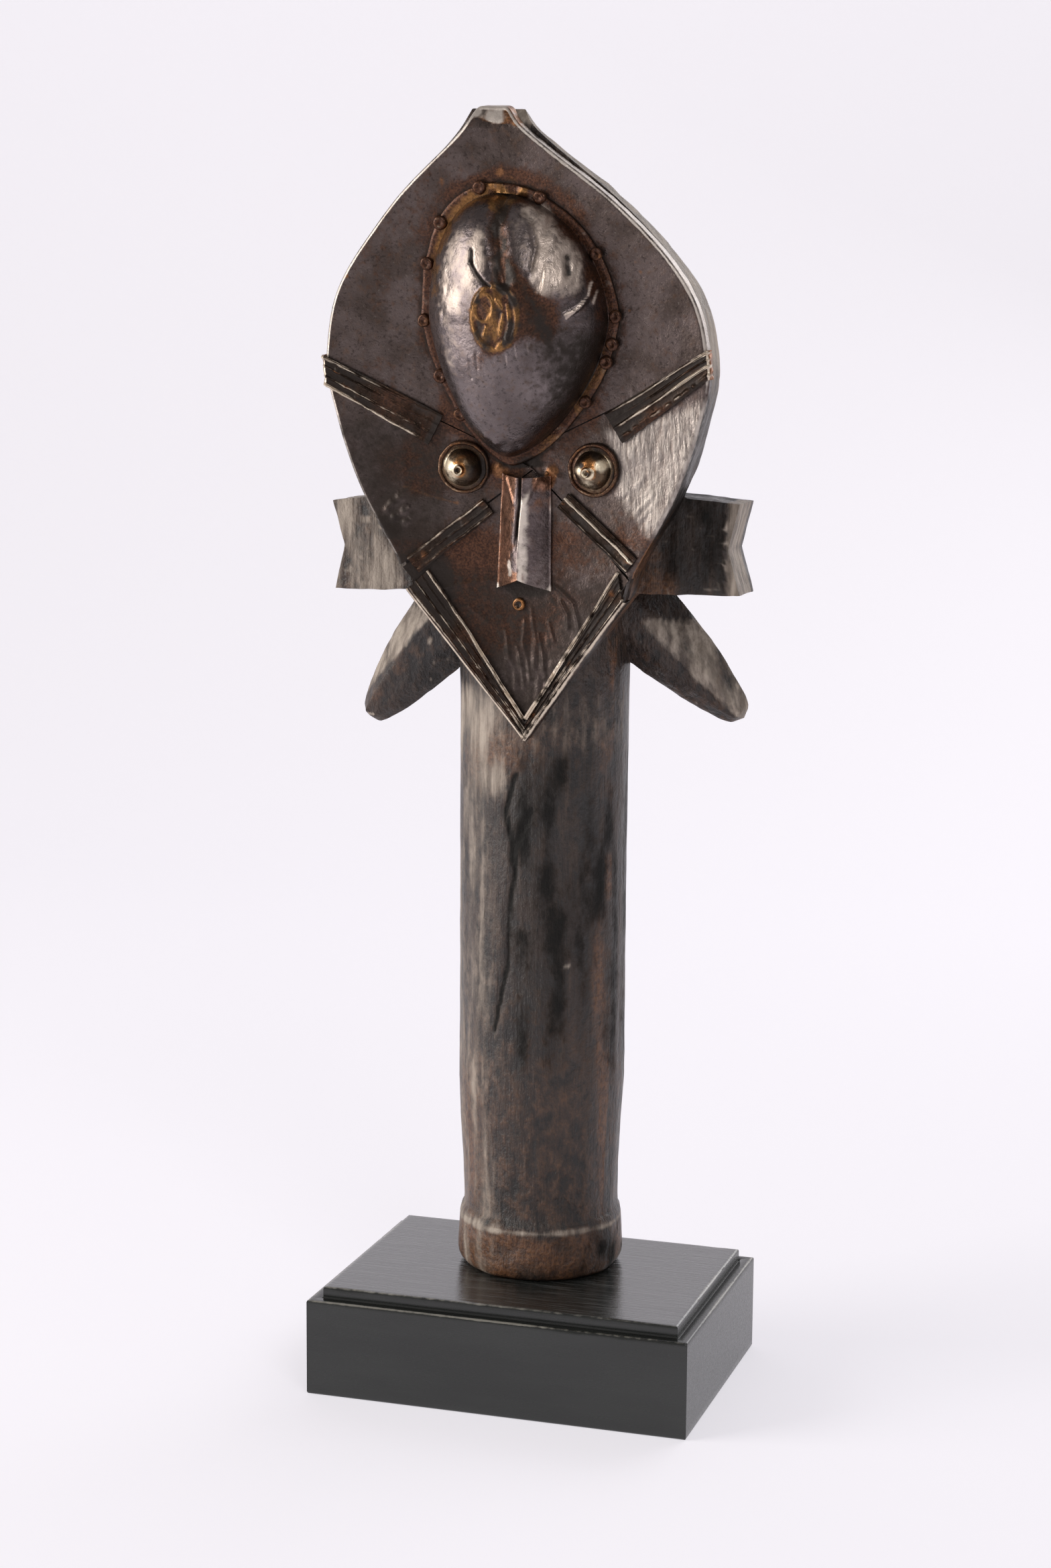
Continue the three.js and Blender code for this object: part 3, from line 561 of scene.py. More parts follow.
def metal(name, dark, light, bright, warm, roughness=0.34):
    """Tarnished sheet: dark and light patina, with rusty, warm-coloured, rubbed and grimy spots. The rubbed
    spots also carry painted highlights, and the grimy ones painted shade.
    """
    recipe = Recipe(name)
    broad = recipe.noise(13)
    mottle = recipe.noise(2.4, detail=5)
    grains = recipe.noise(0.7, detail=4)
    flecks = recipe.noise(1.3, detail=6, roughness=0.7)
    scored = recipe.product(recipe.noise(1.2, detail=3, stretch=(1, 1, 5)), recipe.spot("hatch"))
    # The rubbed spots hold rubbed metal and painted highlights; the grime spots hold grime and painted shade
    rubbed_and_highlit, warmed, rusted, grime = (
        recipe.spotted(spot, mottle, SHEET_RAGGEDNESS, low, high) for spot, low, high in SHEET_SPOTS
    )
    worn_and_highlit = recipe.math("MINIMUM", recipe.math("ADD", rubbed_and_highlit, recipe.ramp(scored, 0.1, 0.8, 0, 0.7)), 1.0)
    colour = recipe.layered(
        recipe.mix(recipe.ramp(broad, 0.35, 0.65), dark, light),
        (recipe.ramp(mottle, 0.5, 0.8, 0, 0.35), dimmed(warm, 0.45)),
        (recipe.ramp(flecks, 0.36, 0.46, 0.6, 0), dimmed(dark, 0.35)),
        (recipe.ramp(flecks, 0.6, 0.7, 0, 0.3), dimmed(bright, 0.5)),
        (rusted, recipe.mix(recipe.ramp(grains, 0.35, 0.65), *RUST_TONES)),
        (warmed, recipe.mix(recipe.ramp(grains, 0.3, 0.7), dimmed(warm, 0.5), warm)),
        (worn_and_highlit, bright),
        (grime, GRIME_AND_SHADE_TONE),
    )
    bare = recipe.math("SUBTRACT", 1.0, recipe.math("MAXIMUM", worn_and_highlit, recipe.product(warmed, 0.6)))
    dull = recipe.math("MAXIMUM", recipe.product(recipe.product(rusted, 0.6), bare), grime)
    sheen = recipe.ramp(mottle, 0.3, 0.75, roughness - 0.08, roughness + 0.14)
    recipe.set(
        Base_Color=colour,
        Metallic=recipe.scaled(worn_and_highlit, -0.25, recipe.ramp(dull, 0, 1, 0.92, 0.5)),
        Roughness=recipe.scaled(dull, 0.12, recipe.scaled(worn_and_highlit, 0.07, sheen)),
    )
    recipe.bump((mottle, 0.18), (grains, 0.1), (scored, 0.3))
    return recipe.material


def figure_wood():
    """Dark crusted patina in streaks, with warm, pale and grimy spots. The pale and warm spots also carry
    painted light, and the grimy ones painted shade.
    """
    recipe = Recipe("figure_wood")
    broad = recipe.noise(22, stretch=(1, 1, 2.2))
    streaks = recipe.noise(3, detail=5, stretch=(1, 1, 8))
    fibres = recipe.noise(0.8, detail=4, stretch=(1, 1, 12))
    pits = recipe.noise(1.5, detail=4)
    crust = recipe.noise(3.5, detail=6, roughness=0.65, stretch=(1, 1, 1.6))
    streaky_crust = recipe.product(recipe.math("ADD", streaks, crust), 0.5)
    warm, pale, grime = (
        recipe.spotted(spot, ragged, 1.2, 0.15, 0.85)
        for spot, ragged in (("warm", crust), ("pale", streaky_crust), ("grime", crust))
    )
    colour = recipe.layered(
        recipe.mix(recipe.ramp(broad, 0.35, 0.65), (0.015, 0.01, 0.008), (0.038, 0.0225, 0.016)),
        (recipe.ramp(streaks, 0.48, 0.76, 0, 0.75), (0.08, 0.049, 0.034)),
        (recipe.ramp(fibres, 0.5, 0.72, 0, 0.7), (0.007, 0.005, 0.004)),
        (recipe.ramp(pits, 0.6, 0.72, 0, 0.7), (0.009, 0.007, 0.006)),
        (recipe.ramp(crust, 0.5, 0.62, 0, 0.6), (0.062, 0.038, 0.026)),
        (recipe.ramp(crust, 0.36, 0.46, 0.75, 0), (0.008, 0.0062, 0.0055)),
        (warm, recipe.mix(recipe.ramp(pits, 0.4, 0.6), (0.07, 0.031, 0.016), (0.14, 0.062, 0.027))),
        (pale, recipe.mix(recipe.ramp(streaks, 0.35, 0.65), (0.18, 0.142, 0.11), (0.4, 0.335, 0.275))),
        # Near black, for grime and painted shade
        (grime, (0.006, 0.005, 0.004)),
    )
    sheen = recipe.ramp(streaks, 0.3, 0.7, 0.3, 0.46)
    recipe.set(
        Base_Color=colour,
        Roughness=recipe.scaled(recipe.math("MAXIMUM", pale, grime), 0.2, sheen),
        Specular_IOR_Level=recipe.ramp(grime, 0, 1, 0.5, 0.2),
    )
    recipe.bump((crust, 0.8), (streaks, 0.6), (fibres, 0.25), (pits, 0.3))
    return recipe.material


def base_wood():
    """Black stain, glossier on the top, where the grain shows, and worn pale on its edges."""
    recipe = Recipe("base_wood")
    grain = recipe.noise(0.8, detail=4, stretch=(26, 1, 1))
    broad = recipe.noise(9, stretch=(5, 1, 1))
    dust = recipe.noise(2.5, detail=5)
    top = recipe.spot("top")
    colour = recipe.layered(
        recipe.mix(recipe.ramp(broad, 0.3, 0.7), (0.0095, 0.0105, 0.0095), (0.014, 0.0155, 0.014)),
        (recipe.product(recipe.ramp(grain, 0.45, 0.7), top), (0.068, 0.07, 0.068)),
        (recipe.spotted("pale", dust, 0.9, 0.35, 0.8), (0.2, 0.19, 0.165)),
    )
    recipe.set(
        Base_Color=colour,
        Roughness=recipe.scaled(top, -0.09, recipe.ramp(grain, 0.3, 0.7, 0.2, 0.3)),
        Specular_IOR_Level=recipe.ramp(top, 0, 1, 0.62, 1.6),
    )
    recipe.bump((recipe.product(grain, top), 0.14), (dust, 0.03))
    return recipe.material


METALS = {
    "plate_sheet": {
        "dark": (0.066, 0.049, 0.042), "light": (0.108, 0.083, 0.076),
        "bright": (0.52, 0.46, 0.41), "warm": (0.26, 0.12, 0.055),
    },
    "cap_sheet": {
        "dark": (0.105, 0.084, 0.082), "light": (0.165, 0.135, 0.134),
        "bright": (0.5, 0.41, 0.35), "warm": (0.3, 0.15, 0.055), "roughness": 0.27,
    },
    "strip_sheet": {
        "dark": (0.022, 0.014, 0.01), "light": (0.05, 0.033, 0.024),
        "bright": (0.66, 0.56, 0.45), "warm": (0.3, 0.12, 0.045),
    },
    "nose_sheet": {
        "dark": (0.13, 0.1, 0.098), "light": (0.22, 0.175, 0.165),
        "bright": (0.72, 0.63, 0.55), "warm": (0.3, 0.155, 0.1), "roughness": 0.3,
    },
    "nails": {
        "dark": (0.06, 0.04, 0.028), "light": (0.15, 0.1, 0.06),
        "bright": (0.8, 0.68, 0.5), "warm": (0.45, 0.2, 0.07), "roughness": 0.26,
    },
}
MATERIALS = {slot: metal(slot, **tones) for slot, tones in METALS.items()}
MATERIALS["figure_wood"] = figure_wood()
MATERIALS["base_wood"] = base_wood()


# Sheets over the face

# Rows and columns of points in the sheets at full fineness
CROWN_ROWS = 420
CHEEK_PLATE_ROWS = 230
CHIN_ROWS = 170
BROW_STRIP_ROWS = 150
CHEEK_STRIP_ROWS = 120
NOSE_ROWS = 150
PLATE_COLUMNS = 90
STRIP_COLUMNS = 60
NOSE_COLUMNS = 90
# The crown plate's line to the rim runs up one flank, over the tip and down the other
FLANK_SHARE = 0.472
CROWN_SMOOTHING = 3
# A cheek plate's inner line runs round the boss, then down to the bridge of the nose
ROUND_BOSS_SHARE = 0.7


def steps(count):
    return np.linspace(0, 1, max(int(count * FINE), 8))


def lerp(a, b, t):
    return a + (b - a) * t


def line(start, end, t):
    return lerp(start[None], end[None], t[:, None])


def smoothed(points, reach):
    """A line of points with its corners rounded off, and its ends kept."""
    padded = np.concatenate([np.repeat(points[:1], reach, 0), points, np.repeat(points[-1:], reach, 0)])
    window = np.ones(2 * reach + 1) / (2 * reach + 1)
    return np.stack([np.convolve(padded[:, i], window, "valid") for i in range(2)], -1)


def outward(rim):
    """Directions square to a rim that runs round the face, pointing off it."""
    along = np.gradient(rim, axis=0)
    square = np.stack([-along[:, 1], along[:, 0]], -1)
    square /= np.linalg.norm(square, axis=-1, keepdims=True)
    middle = placed((0, 0.5))
    return square if ((rim - middle) * square).sum() > 0 else -square


def flat_grid(inner, outer, shares):
    return lerp(inner[:, None], outer[:, None], shares[None, :, None])


# Rows of points round the rim's edge, and down behind it
BEND_ROWS = 6
HEM_ROWS = 5


def folded_grid(inner, outer, columns, height):
    """Grid from an inner line to the rim, round its edge and down behind it.

    height gives the sheet's height above the plates from x, z and the share of the way to the rim.
    Also returns how far each point is bent over the edge, from 0 on the face to 1 behind it.
    """
    away = outward(outer)
    edge = outer - away * RIM_ROUND
    shares = steps(columns)
    flat = flat_grid(inner, edge, shares)
    x, z = flat[..., 0], flat[..., 1]
    rises = height(x, z, np.broadcast_to(shares, x.shape))
    face = face_point(x, z, rises)
    turns = np.linspace(0, np.pi / 2, BEND_ROWS + 1)[1:]
    bent = edge[:, None] + away[:, None] * (RIM_ROUND * np.sin(turns))[None, :, None]
    depth = face[:, -1:, 1] + RIM_ROUND * (1 - np.cos(turns))
    hem = rim_y(outer[:, 1]) + RIM_FOLD * (1 + 0.1 * noise(flat_points(*outer.T), 5, 7))
    downs = np.linspace(0, 1, HEM_ROWS + 1)[1:]
    low = lerp(depth[:, -1:], hem[:, None], downs[None])
    dents = 0.15 * noise(np.stack([bent[:, :1, 0] + 0 * low, low, bent[:, :1, 1] + 0 * low], -1), 4, 8)
    behind = bent[:, -1:] + away[:, None] * dents[..., None]
    around = np.concatenate([bent, behind], axis=1)
    depths = np.concatenate([depth, low], axis=1)
    side = np.stack([around[..., 0], depths, around[..., 1]], -1)
    over = np.concatenate([np.zeros(len(shares)), np.sin(turns) * 0.5, 0.5 + 0.5 * downs])
    return np.concatenate([face, side], axis=1), np.broadcast_to(over, (len(outer), len(over)))


EDGE_WEAR_AT = 0.22
EDGE_WEAR_REACH = 0.24


def edge_wear(over):
    """Bright metal on the edge itself, fading on both sides of it."""
    return bell((over - EDGE_WEAR_AT) / EDGE_WEAR_REACH) * (over > 0)


# Lines, places and an outline on the plates, in the face's x and z
CHIN_ARCS = [
    [(-31, 44.5), (-27.8, 49.4), (-20.7, 51), (-13.9, 52.6), (-9, 52.8)],
    [(11, 52.3), (13, 51.2), (17.9, 47.2), (19.7, 41.8), (20.5, 38)],
    [(13.5, 47.5), (16, 43.5), (16.4, 39)],
]
CHIN_STREAKS = [
    [(-5.5, 36), (-4, 28), (-2.8, 25)], [(1, 40), (0.5, 33), (2.5, 26), (3.5, 20)],
    [(6, 36), (7.8, 28), (8.8, 22)], [(-18, 43.7), (-12, 39)], [(3.2, 44), (4, 38), (5.4, 33)],
    [(9.5, 40), (11.5, 34)], [(-1.5, 31), (0.6, 24), (1.4, 18)],
]
CRUMPLES = [(-44.6, 77.5), (-42.2, 79.5), (-40.5, 75), (-43.5, 73), (-46, 75.5), (-39.8, 71.5)]
RIM_LUMPS = [(-8.5, 90.2), (-11, 88), (9.5, 90), (12, 88), (64.3, 141), (64, 147), (62.8, 152)]
BLUE_SPOTS = [(-42, 67), (-41, 63.5)]
RIGHT_CHEEK = [
    (27, 104), (34.1, 107), (50.3, 112), (65, 118), (69, 95), (61, 80), (51.5, 64.5), (42.1, 72.5),
    (31.5, 83), (33, 92),
]


def cheek_hatching(x, z):
    """Fine beaten strokes of the right cheek: upright above, slanting below."""
    upright = noise(flat_points(x, z), (1.3, 1, 7), 13)
    slant = np.stack([x + 0.9 * z, 0 * x, 0.7 * z - 0.8 * x], -1)
    return lerp(noise(slant, (8, 1, 1.3), 14), upright, smoothstep(84, 96, z))


# Marks on the plates, as (strength, width, one or more places)
PLATE_RELIEF = [
    *dots(0.9, 1.3, CRUMPLES), *dots(0.8, 1.7, RIM_LUMPS),
    *traces(0.5, 0.7, CHIN_ARCS), *traces(0.32, 0.6, CHIN_STREAKS),
]
PLATE_BRIGHT = [
    *dots(0.35, 0.9, CRUMPLES), *dots(0.2, 1.8, BLUE_SPOTS),
    *traces(0.22, 0.6, CHIN_ARCS), *traces(0.12, 0.5, CHIN_STREAKS),
]
PLATE_GRIME = [(0.5, 1.8, (-47, 71)), (0.6, 2.6, (-44, 69))]


def plate_relief(x, z):
    """Wrinkles, dents and drawn lines in the plates, over the face's unevenness."""
    places = flat_points(x, z)
    height = 0.12 * rough(places, 5, 19) + 0.13 * region(x, z, RIGHT_CHEEK, 3) * cheek_hatching(x, z)
    height += 0.35 * smoothstep(0.2, 0.8, blob(x, z, (2, 26), 11, 13)) * noise(places, (1.6, 1, 9), 17)
    return height + marked(x, z, PLATE_RELIEF)


PLATE_GOLD = [
    (0.75, 1.8, (-6.5, 206)), (0.6, 1.4, (-10.5, 203.5)), (0.8, 1.1, (-59, 152)), (0.5, 1.4, (-36.5, 156)),
    (0.6, 0.9, (40, 156)), (0.5, 1.2, (38, 159)), (0.55, 1.6, (-26, 183)), (0.9, 1.6, (-7, 186)),
    (0.5, 2.2, (-3, 183.5)), (0.8, 2.2, (-6.9, 88)), (0.85, 2.0, (8.5, 88.5)), (0.6, 1.5, (9.3, 85.5)),
    (0.5, 1.4, (-24, 112.5)), (0.55, 0.8, (-41, 83), (-32, 80), (-23, 78)), (0.7, 1.2, (65.2, 133)),
    (0.7, 1.2, (65.6, 126.7)), (0.9, 1.7, (64.3, 141)), (0.8, 1.4, (64, 147)), (0.7, 1.2, (62.8, 152)),
    (0.9, 2.6, (-9, 90)), (0.9, 2.4, (10, 90)), (0.3, 2.6, (-2.6, 44.6)), (0.5, 1.5, (-35.4, 105)),
    (0.45, 1.2, (45, 112.5)), (0.5, 0.7, (-64, 148), (-62, 160)), (0.5, 0.8, (36, 143.5)),
]
PLATE_RUST = [
    (0.5, 9, (-45, 92)), (0.45, 9, (-36, 84)), (0.5, 11, (-14, 62)), (0.45, 10, (-22, 56)),
    (0.4, 9, (14, 68)), (0.45, 9, (4, 38)), (0.35, 9, (-10, 40)), (0.6, 5, (-8, 90)), (0.6, 5, (10, 90)),
    (0.4, 6, (-30, 101)), (0.5, 3, (-20, 180), (-7, 187), (8, 184), (22, 174)),
    (0.4, 4, (-28, 110), (-18, 97)), (0.4, 4, (26, 112), (16, 97)),
]


def plate_paint(x, z, over):
    """Spots of the plates' patina, where over says how far each point is bent over the rim. Some are painted
    light: highlights on the right cheek and the upper right hem, and shade on the left cheek, the lower right
    hem, under the cap's lower end and under the nose's end.
    """
    places = flat_points(x, z)
    boss = np.maximum(boss_distance(x, z), 0)
    cheek = region(x, z, RIGHT_CHEEK, 3.5)
    edge = edge_wear(over)
    right = x > 0
    below = right * smoothstep(124, 114, z)
    tip = smoothstep(200.5, 202.5, z + 0.15 * (x + 8))
    # The worn edge is dimmed low on the right, as painted shade
    bright = edge * (1.0 + 0.35 * noise(places, 9, 33)) * (1 - 0.85 * below)
    # The right cheek is painted lighter: hatched rubbed metal and a painted highlight
    bright += 0.3 * cheek * (1 + 0.4 * cheek_hatching(x, z)) + marked(x, z, PLATE_BRIGHT)
    bright += tip * smoothstep(-3, -8, x) * (1.0 + 0.5 * noise(places, 2.5, 36))
    # Painted highlight on the hem behind the rim's upper right
    bright += 0.6 * smoothstep(0.4, 0.6, over) * right * smoothstep(126, 134, z)
    warm = 0.55 * edge * smoothstep(0.0, 0.5, noise(places, 13, 35)) + marked(x, z, PLATE_GOLD)
    warm += tip * (0.75 + 0.6 * noise(places, 3, 38))
    warm += 0.8 * smoothstep(0.2, 0.5, over) * right * smoothstep(76, 66, z)
    rust = marked(x, z, PLATE_RUST) + 0.5 * bell(boss / 4) + 0.3 * smoothstep(78, 68, z)
    rust += 0.3 * smoothstep(0.1, 0.5, noise(places, 12, 37))
    rust += tip * smoothstep(-0.1, 0.4, noise(places, 2.2, 40))
    grime = marked(x, z, PLATE_GRIME) + 0.6 * bell(boss / 2)
    # Painted shadows under the cap's lower end and under the nose's end
    grime += blob(x, z, (1.7, 92.3), 6.5, 1.6) + blob(x, z, (0.8, 51), 6, 2)
    # Painted shade on the left cheek, and darker towards the chin
    grime += 0.55 * smoothstep(-20, -30, x) * smoothstep(112, 102, z) + 0.55 * smoothstep(64, 52, z)
    # Painted shade on the hem behind the rim's lower right
    grime += 0.75 * smoothstep(0.3, 0.6, over) * below * smoothstep(64, 72, z)
    return {"bright": bright, "warm": warm, "rust": rust, "grime": grime, "hatch": cheek}


def boss_radius(turn):
    """Egg outline about the boss's middle, before it sways: an ellipse above, and pointed below."""
    c, s = np.abs(np.cos(turn)), np.sin(turn)
    sharpness = np.where(s > 0, 2, 1.5)
    reach = np.where(s > 0, BOSS_RISE, BOSS_DROP)
    share = (c / BOSS_HALF_WIDTH) ** sharpness + (np.abs(s) / reach) ** sharpness
    return share ** (-1 / sharpness)


def boss_sway(up):
    """How far the boss's ends lean to the left."""
    return np.where(up > 0, BOSS_RISE_SWAY, BOSS_DROP_SWAY) * up ** 2


def boss_outline(turn, inset):
    radius = boss_radius(turn) - inset
    up = radius * np.sin(turn)
    return np.stack([radius * np.cos(turn) - boss_sway(up), up], -1)


def boss_distance(x, z):
    """Distance outside the cap's outline, along a ray from its middle. It is less than 0 inside."""
    centre = placed(BOSS_PLACE)
    up = z - centre[1]
    across = x - centre[0] + boss_sway(up)
    return np.hypot(across, up) - boss_radius(np.arctan2(up, across))


def boss_point(turn, inset):
    return boss_outline(turn, inset) + placed(BOSS_PLACE)


def plate_boss_point(turn):
    return boss_point(turn, CAP_FLANGE - EDGE_GAP)


def plate(name, inner, outer):
    """A plate from an inner line to the rim, folded over it."""
    grid, over = folded_grid(inner, outer, PLATE_COLUMNS, lambda x, z, share: plate_relief(x, z))
    paint = plate_paint(grid[..., 0], grid[..., 2], over)
    sheet_piece(name, grid, paint, "plate_sheet")


def crown_plate():
    left, right = SIDES["left"], SIDES["right"]
    t = steps(CROWN_ROWS)
    flank = FLANK_SHARE
    tip = HEAD_HEIGHT * np.ones_like(t)
    left_z = lerp(left["brow_rim"] * HEAD_HEIGHT + GAP, HEAD_HEIGHT, np.clip(t / flank, 0, 1))
    right_z = lerp(right["brow_rim"] * HEAD_HEIGHT + GAP, HEAD_HEIGHT, np.clip((1 - t) / flank, 0, 1))
    across = np.clip((t - flank) / (1 - 2 * flank), 0, 1)[:, None]
    top = lerp(rim_point(left, tip), rim_point(right, tip), across)
    outer = np.where((t < flank)[:, None], rim_point(left, left_z), top)
    outer = np.where((t > 1 - flank)[:, None], rim_point(right, right_z), outer)
    inner = plate_boss_point(lerp(left["brow_turn"] - SEAM_TURN, right["brow_turn"] + SEAM_TURN, t))
    plate("crown_plate", inner, smoothed(outer, CROWN_SMOOTHING))


def cheek_plate(name, side):
    t = steps(CHEEK_PLATE_ROWS)
    boss_share = ROUND_BOSS_SHARE
    foot = BOSS_FOOT_TURN + side["sign"] * SEAM_TURN
    end = foot - 2 * math.pi if side["sign"] > 0 else foot
    start = side["brow_turn"] - side["sign"] * SEAM_TURN
    bridge = placed(BRIDGE_PLACE) + np.array([side["sign"] * GAP, GAP])
    round_boss = plate_boss_point(lerp(start, end, np.clip(t / boss_share, 0, 1)))
    down = np.clip((t - boss_share) / (1 - boss_share), 0, 1)
    inner = lerp(round_boss, np.broadcast_to(bridge, round_boss.shape), down[:, None])
    rim_z = lerp(side["brow_rim"] * HEAD_HEIGHT - GAP, JAW_CORNER_SHARE * HEAD_HEIGHT + GAP, t)
    plate(f"cheek_plate_{name}", inner, rim_point(side, rim_z))


def chin_plate():
    left, right = (
        rim_point(side, np.array([JAW_CORNER_SHARE * HEAD_HEIGHT - GAP]), HEAD_SIDE_INSET)[0]
        for side in SIDES.values()
    )
    bridge = placed(BRIDGE_PLACE)
    chin = np.array([float(centre_line(0)), chin_inset(HEAD_SIDE_INSET + LEAST_HALF_WIDTH)])
    t = steps(CHIN_ROWS)
    flat = flat_grid(line(bridge, right, t), line(left, chin, t), t)
    x, z = flat[..., 0], flat[..., 1]
    grid = face_point(x, z, plate_relief(x, z))
    sheet_piece("chin_plate", grid, plate_paint(x, z, np.zeros_like(x)), "plate_sheet")


# Ribbed strips

# Crests of the ribbed strips, as (place across, half breadth, height, brightness, beading, strength where the
# strip ends). Places run across a strip from one edge of it, at 0, to the other, at 1.
BROW_CRESTS = {
    "left": [
        (0.05, 0.5, 1.0, 0.85, 0.3, 0.5), (0.34, 0.4, 0.8, 0.5, 0.4, 0.5), (0.66, 0.35, 0.7, 0.25, 0.6, 0.5),
        (0.93, 0.45, 0.9, 0.55, 0.2, 0.3),
    ],
    "right": [
        (0.07, 0.4, 0.9, 0.65, 0.2, 0.5), (0.3, 0.35, 0.6, 0.25, 0.5, 0.4), (0.53, 0.5, 1.0, 0.95, 0.1, 0.6),
        (0.86, 0.8, 0.9, 0.35, 0.9, 0.5),
    ],
}
CHEEK_CRESTS = {
    "left": [
        (0.1, 0.5, 0.8, 0.3, 0.3, 0.9), (0.5, 0.35, 0.5, 0.12, 0.5, 0.9), (0.88, 0.45, 0.6, 0.2, 0.3, 0.9),
    ],
    "right": [
        (0.16, 0.4, 0.7, 0.35, 0.2, 0.9), (0.66, 0.5, 1.0, 1.0, 0.25, 0.6), (0.93, 0.3, 0.5, 0.2, 0.4, 0.8),
    ],
}
CHIN_CRESTS = {
    "left": [
        (0.07, 0.5, 1.0, 0.75, 0.15, 1), (0.34, 0.3, 0.5, 0.1, 0.5, 1), (0.62, 0.4, 0.7, 0.4, 0.4, 1),
        (0.93, 0.45, 0.6, 0.4, 0.3, 1),
    ],
    "right": [
        (0.07, 0.5, 1.0, 0.85, 0.15, 1), (0.34, 0.3, 0.5, 0.1, 0.5, 1), (0.6, 0.4, 0.6, 0.3, 0.4, 1),
        (0.93, 0.45, 0.7, 0.5, 0.3, 1),
    ],
}
# Gilt lumps on the strips, as (strength, width, place)
STRIP_GOLD = [
    (0.8, 1.5, (-62.5, 121)), (0.7, 2.0, (-60, 116)), (0.6, 1.6, (-56, 112)), (0.75, 1.6, (64, 132)),
    (0.7, 1.6, (65, 127)), (0.7, 1.6, (64, 122)), (0.5, 2.5, (-14, 78)), (0.45, 2.0, (-20, 72)),
    (0.5, 2.0, (-33, 61)), (0.6, 2.0, (37, 62)), (0.5, 1.2, (14, 80)), (0.6, 1.6, (32, 52)),
    (0.5, 1.4, (-36, 50)), (0.7, 1.6, (6, 9)), (0.5, 1.5, (18, 27)),
]


def ribs(share, along, width, crests, x, z):
    """Height of a strip's crests, which wander a little and are beaten uneven, and their brightness, worn and
    painted as highlights.
    """
    places = flat_points(x, z)
    across = share * width + 0.25 * noise(places, 9, 23) + 0.1 * noise(places, 2.5, 24)
    height, glint = 0 * x, 0 * x
    for i, (place, breadth, rise, shine, beads, last) in enumerate(crests):
        beading = 1 - beads * np.maximum(noise(places, 1.6, 31 + i), 0)
        crest = beading * bell((across - place * width) / breadth)
        crest = crest * lerp(1, last, smoothstep(0.2, 1, along))
        height = height + RIB_HEIGHT * rise * (1 + 0.25 * noise(places, 7, 27 + i)) * crest
        glint = np.maximum(glint, shine * (0.75 + 0.6 * noise(places, 5, 43 + i)) * crest)
    lumps = marked(x, z, [(0.8 * strength, 0.6 * size, place) for strength, size, place in STRIP_GOLD])
    return height + lumps * (0.7 + noise(places, 1.5, 48)), glint


def strip_paint(x, z, glint, over=0.0):
    """Spots of a strip's patina, with crests bright from wear and painted highlight, and darker between them.
    """
    places = flat_points(x, z)
    edge = edge_wear(over)
    gilt = 0.4 * smoothstep(0.1, 0.6, noise(places, 6, 40)) * (glint + edge)
    between = smoothstep(0.25, 0.0, glint) * (over < 0.05)
    return {
        "bright": 1.7 * glint + edge * (0.95 + 0.35 * noise(places, 7, 39)),
        "warm": marked(x, z, STRIP_GOLD) + gilt,
        "rust": 0.35 + 0.3 * noise(places, 8, 41),
        "grime": 0.7 * between * (0.9 + 0.6 * noise(places, (5, 1, 5), 42)),
    }


def strip(inner, outer, width, crests):
    """Grid of a ribbed strip between two lines, and the brightness of its crests."""
    shares = steps(STRIP_COLUMNS)
    flat = flat_grid(inner, outer, shares)
    x, z = flat[..., 0], flat[..., 1]
    along = np.linspace(0, 1, len(inner))[:, None] + 0 * x
    height, glint = ribs(shares[None] + 0 * x, along, width, crests, x, z)
    grid = face_point(x, z, GAP + SHEET + height)
    return grid, glint


def beside(start, end, offset):
    """The ends of a line, moved square to it."""
    along = (end - start) / np.linalg.norm(end - start)
    aside = np.array([-along[1], along[0]]) * offset
    return start + aside, end + aside


BROW_BEND_ROWS = 7
BROW_FOLD_SHARE = 0.55


def brow_strip(name, side):
    """A strip from the boss to the rim, where its end is bent down over the plates' edge."""
    rim = rim_point(side, np.array([side["brow_rim"] * HEAD_HEIGHT]))[0]
    end = placed(side["brow_end"])
    t = steps(BROW_STRIP_ROWS)
    edges = []
    for offset in (-BROW_STRIP_WIDTH / 2, BROW_STRIP_WIDTH / 2):
        start, stop = beside(rim, end, offset)
        edges.append(line(rim_point(side, start[1:])[0], stop, t))
    grid, glint = strip(*edges, BROW_STRIP_WIDTH, BROW_CRESTS[name])
    turn = np.linspace(0, np.pi / 2, BROW_BEND_ROWS + 1)[1:, None]
    out, back = RIM_ROUND * np.sin(turn), RIM_ROUND * (1 - np.cos(turn))
    down = np.linspace(0, 1, HEM_ROWS + 1)[1:, None] * (BROW_FOLD_SHARE * RIM_FOLD)
    out = np.concatenate([out, RIM_ROUND + 0 * down])
    back = np.concatenate([back, RIM_ROUND + down])
    lumps = 0.5 * np.abs(noise(grid[:1] + np.stack([0 * back, back, 0 * back], -1), 2.2, 47))
    bent = grid[:1] + np.stack([side["sign"] * (out + lumps - 0.4), back + 0 * lumps, 0 * lumps], -1)
    whole = np.concatenate([bent[::-1], grid])
    over = np.concatenate([0.2 + 0.8 * np.linspace(1, 0, len(bent))[:, None] + 0 * bent[..., 0], 0 * glint])
    glints = np.concatenate([np.repeat(glint[:1], len(bent), 0), glint])
    paint = strip_paint(whole[..., 0], whole[..., 2], glints, over)
    paint["warm"] = paint["warm"] + 0.6 * (over > 0.1)
    # The inner end, running under the cap, is painted into shade
    inner_end = smoothstep(0.9, 0.99, np.linspace(0, 1, len(whole)))[:, None]
    paint["bright"] = paint["bright"] * (1 - inner_end)
    paint["grime"] = np.maximum(paint["grime"], 0.8 * inner_end)
    sheet_piece(f"brow_strip_{name}", whole, paint, "strip_sheet")


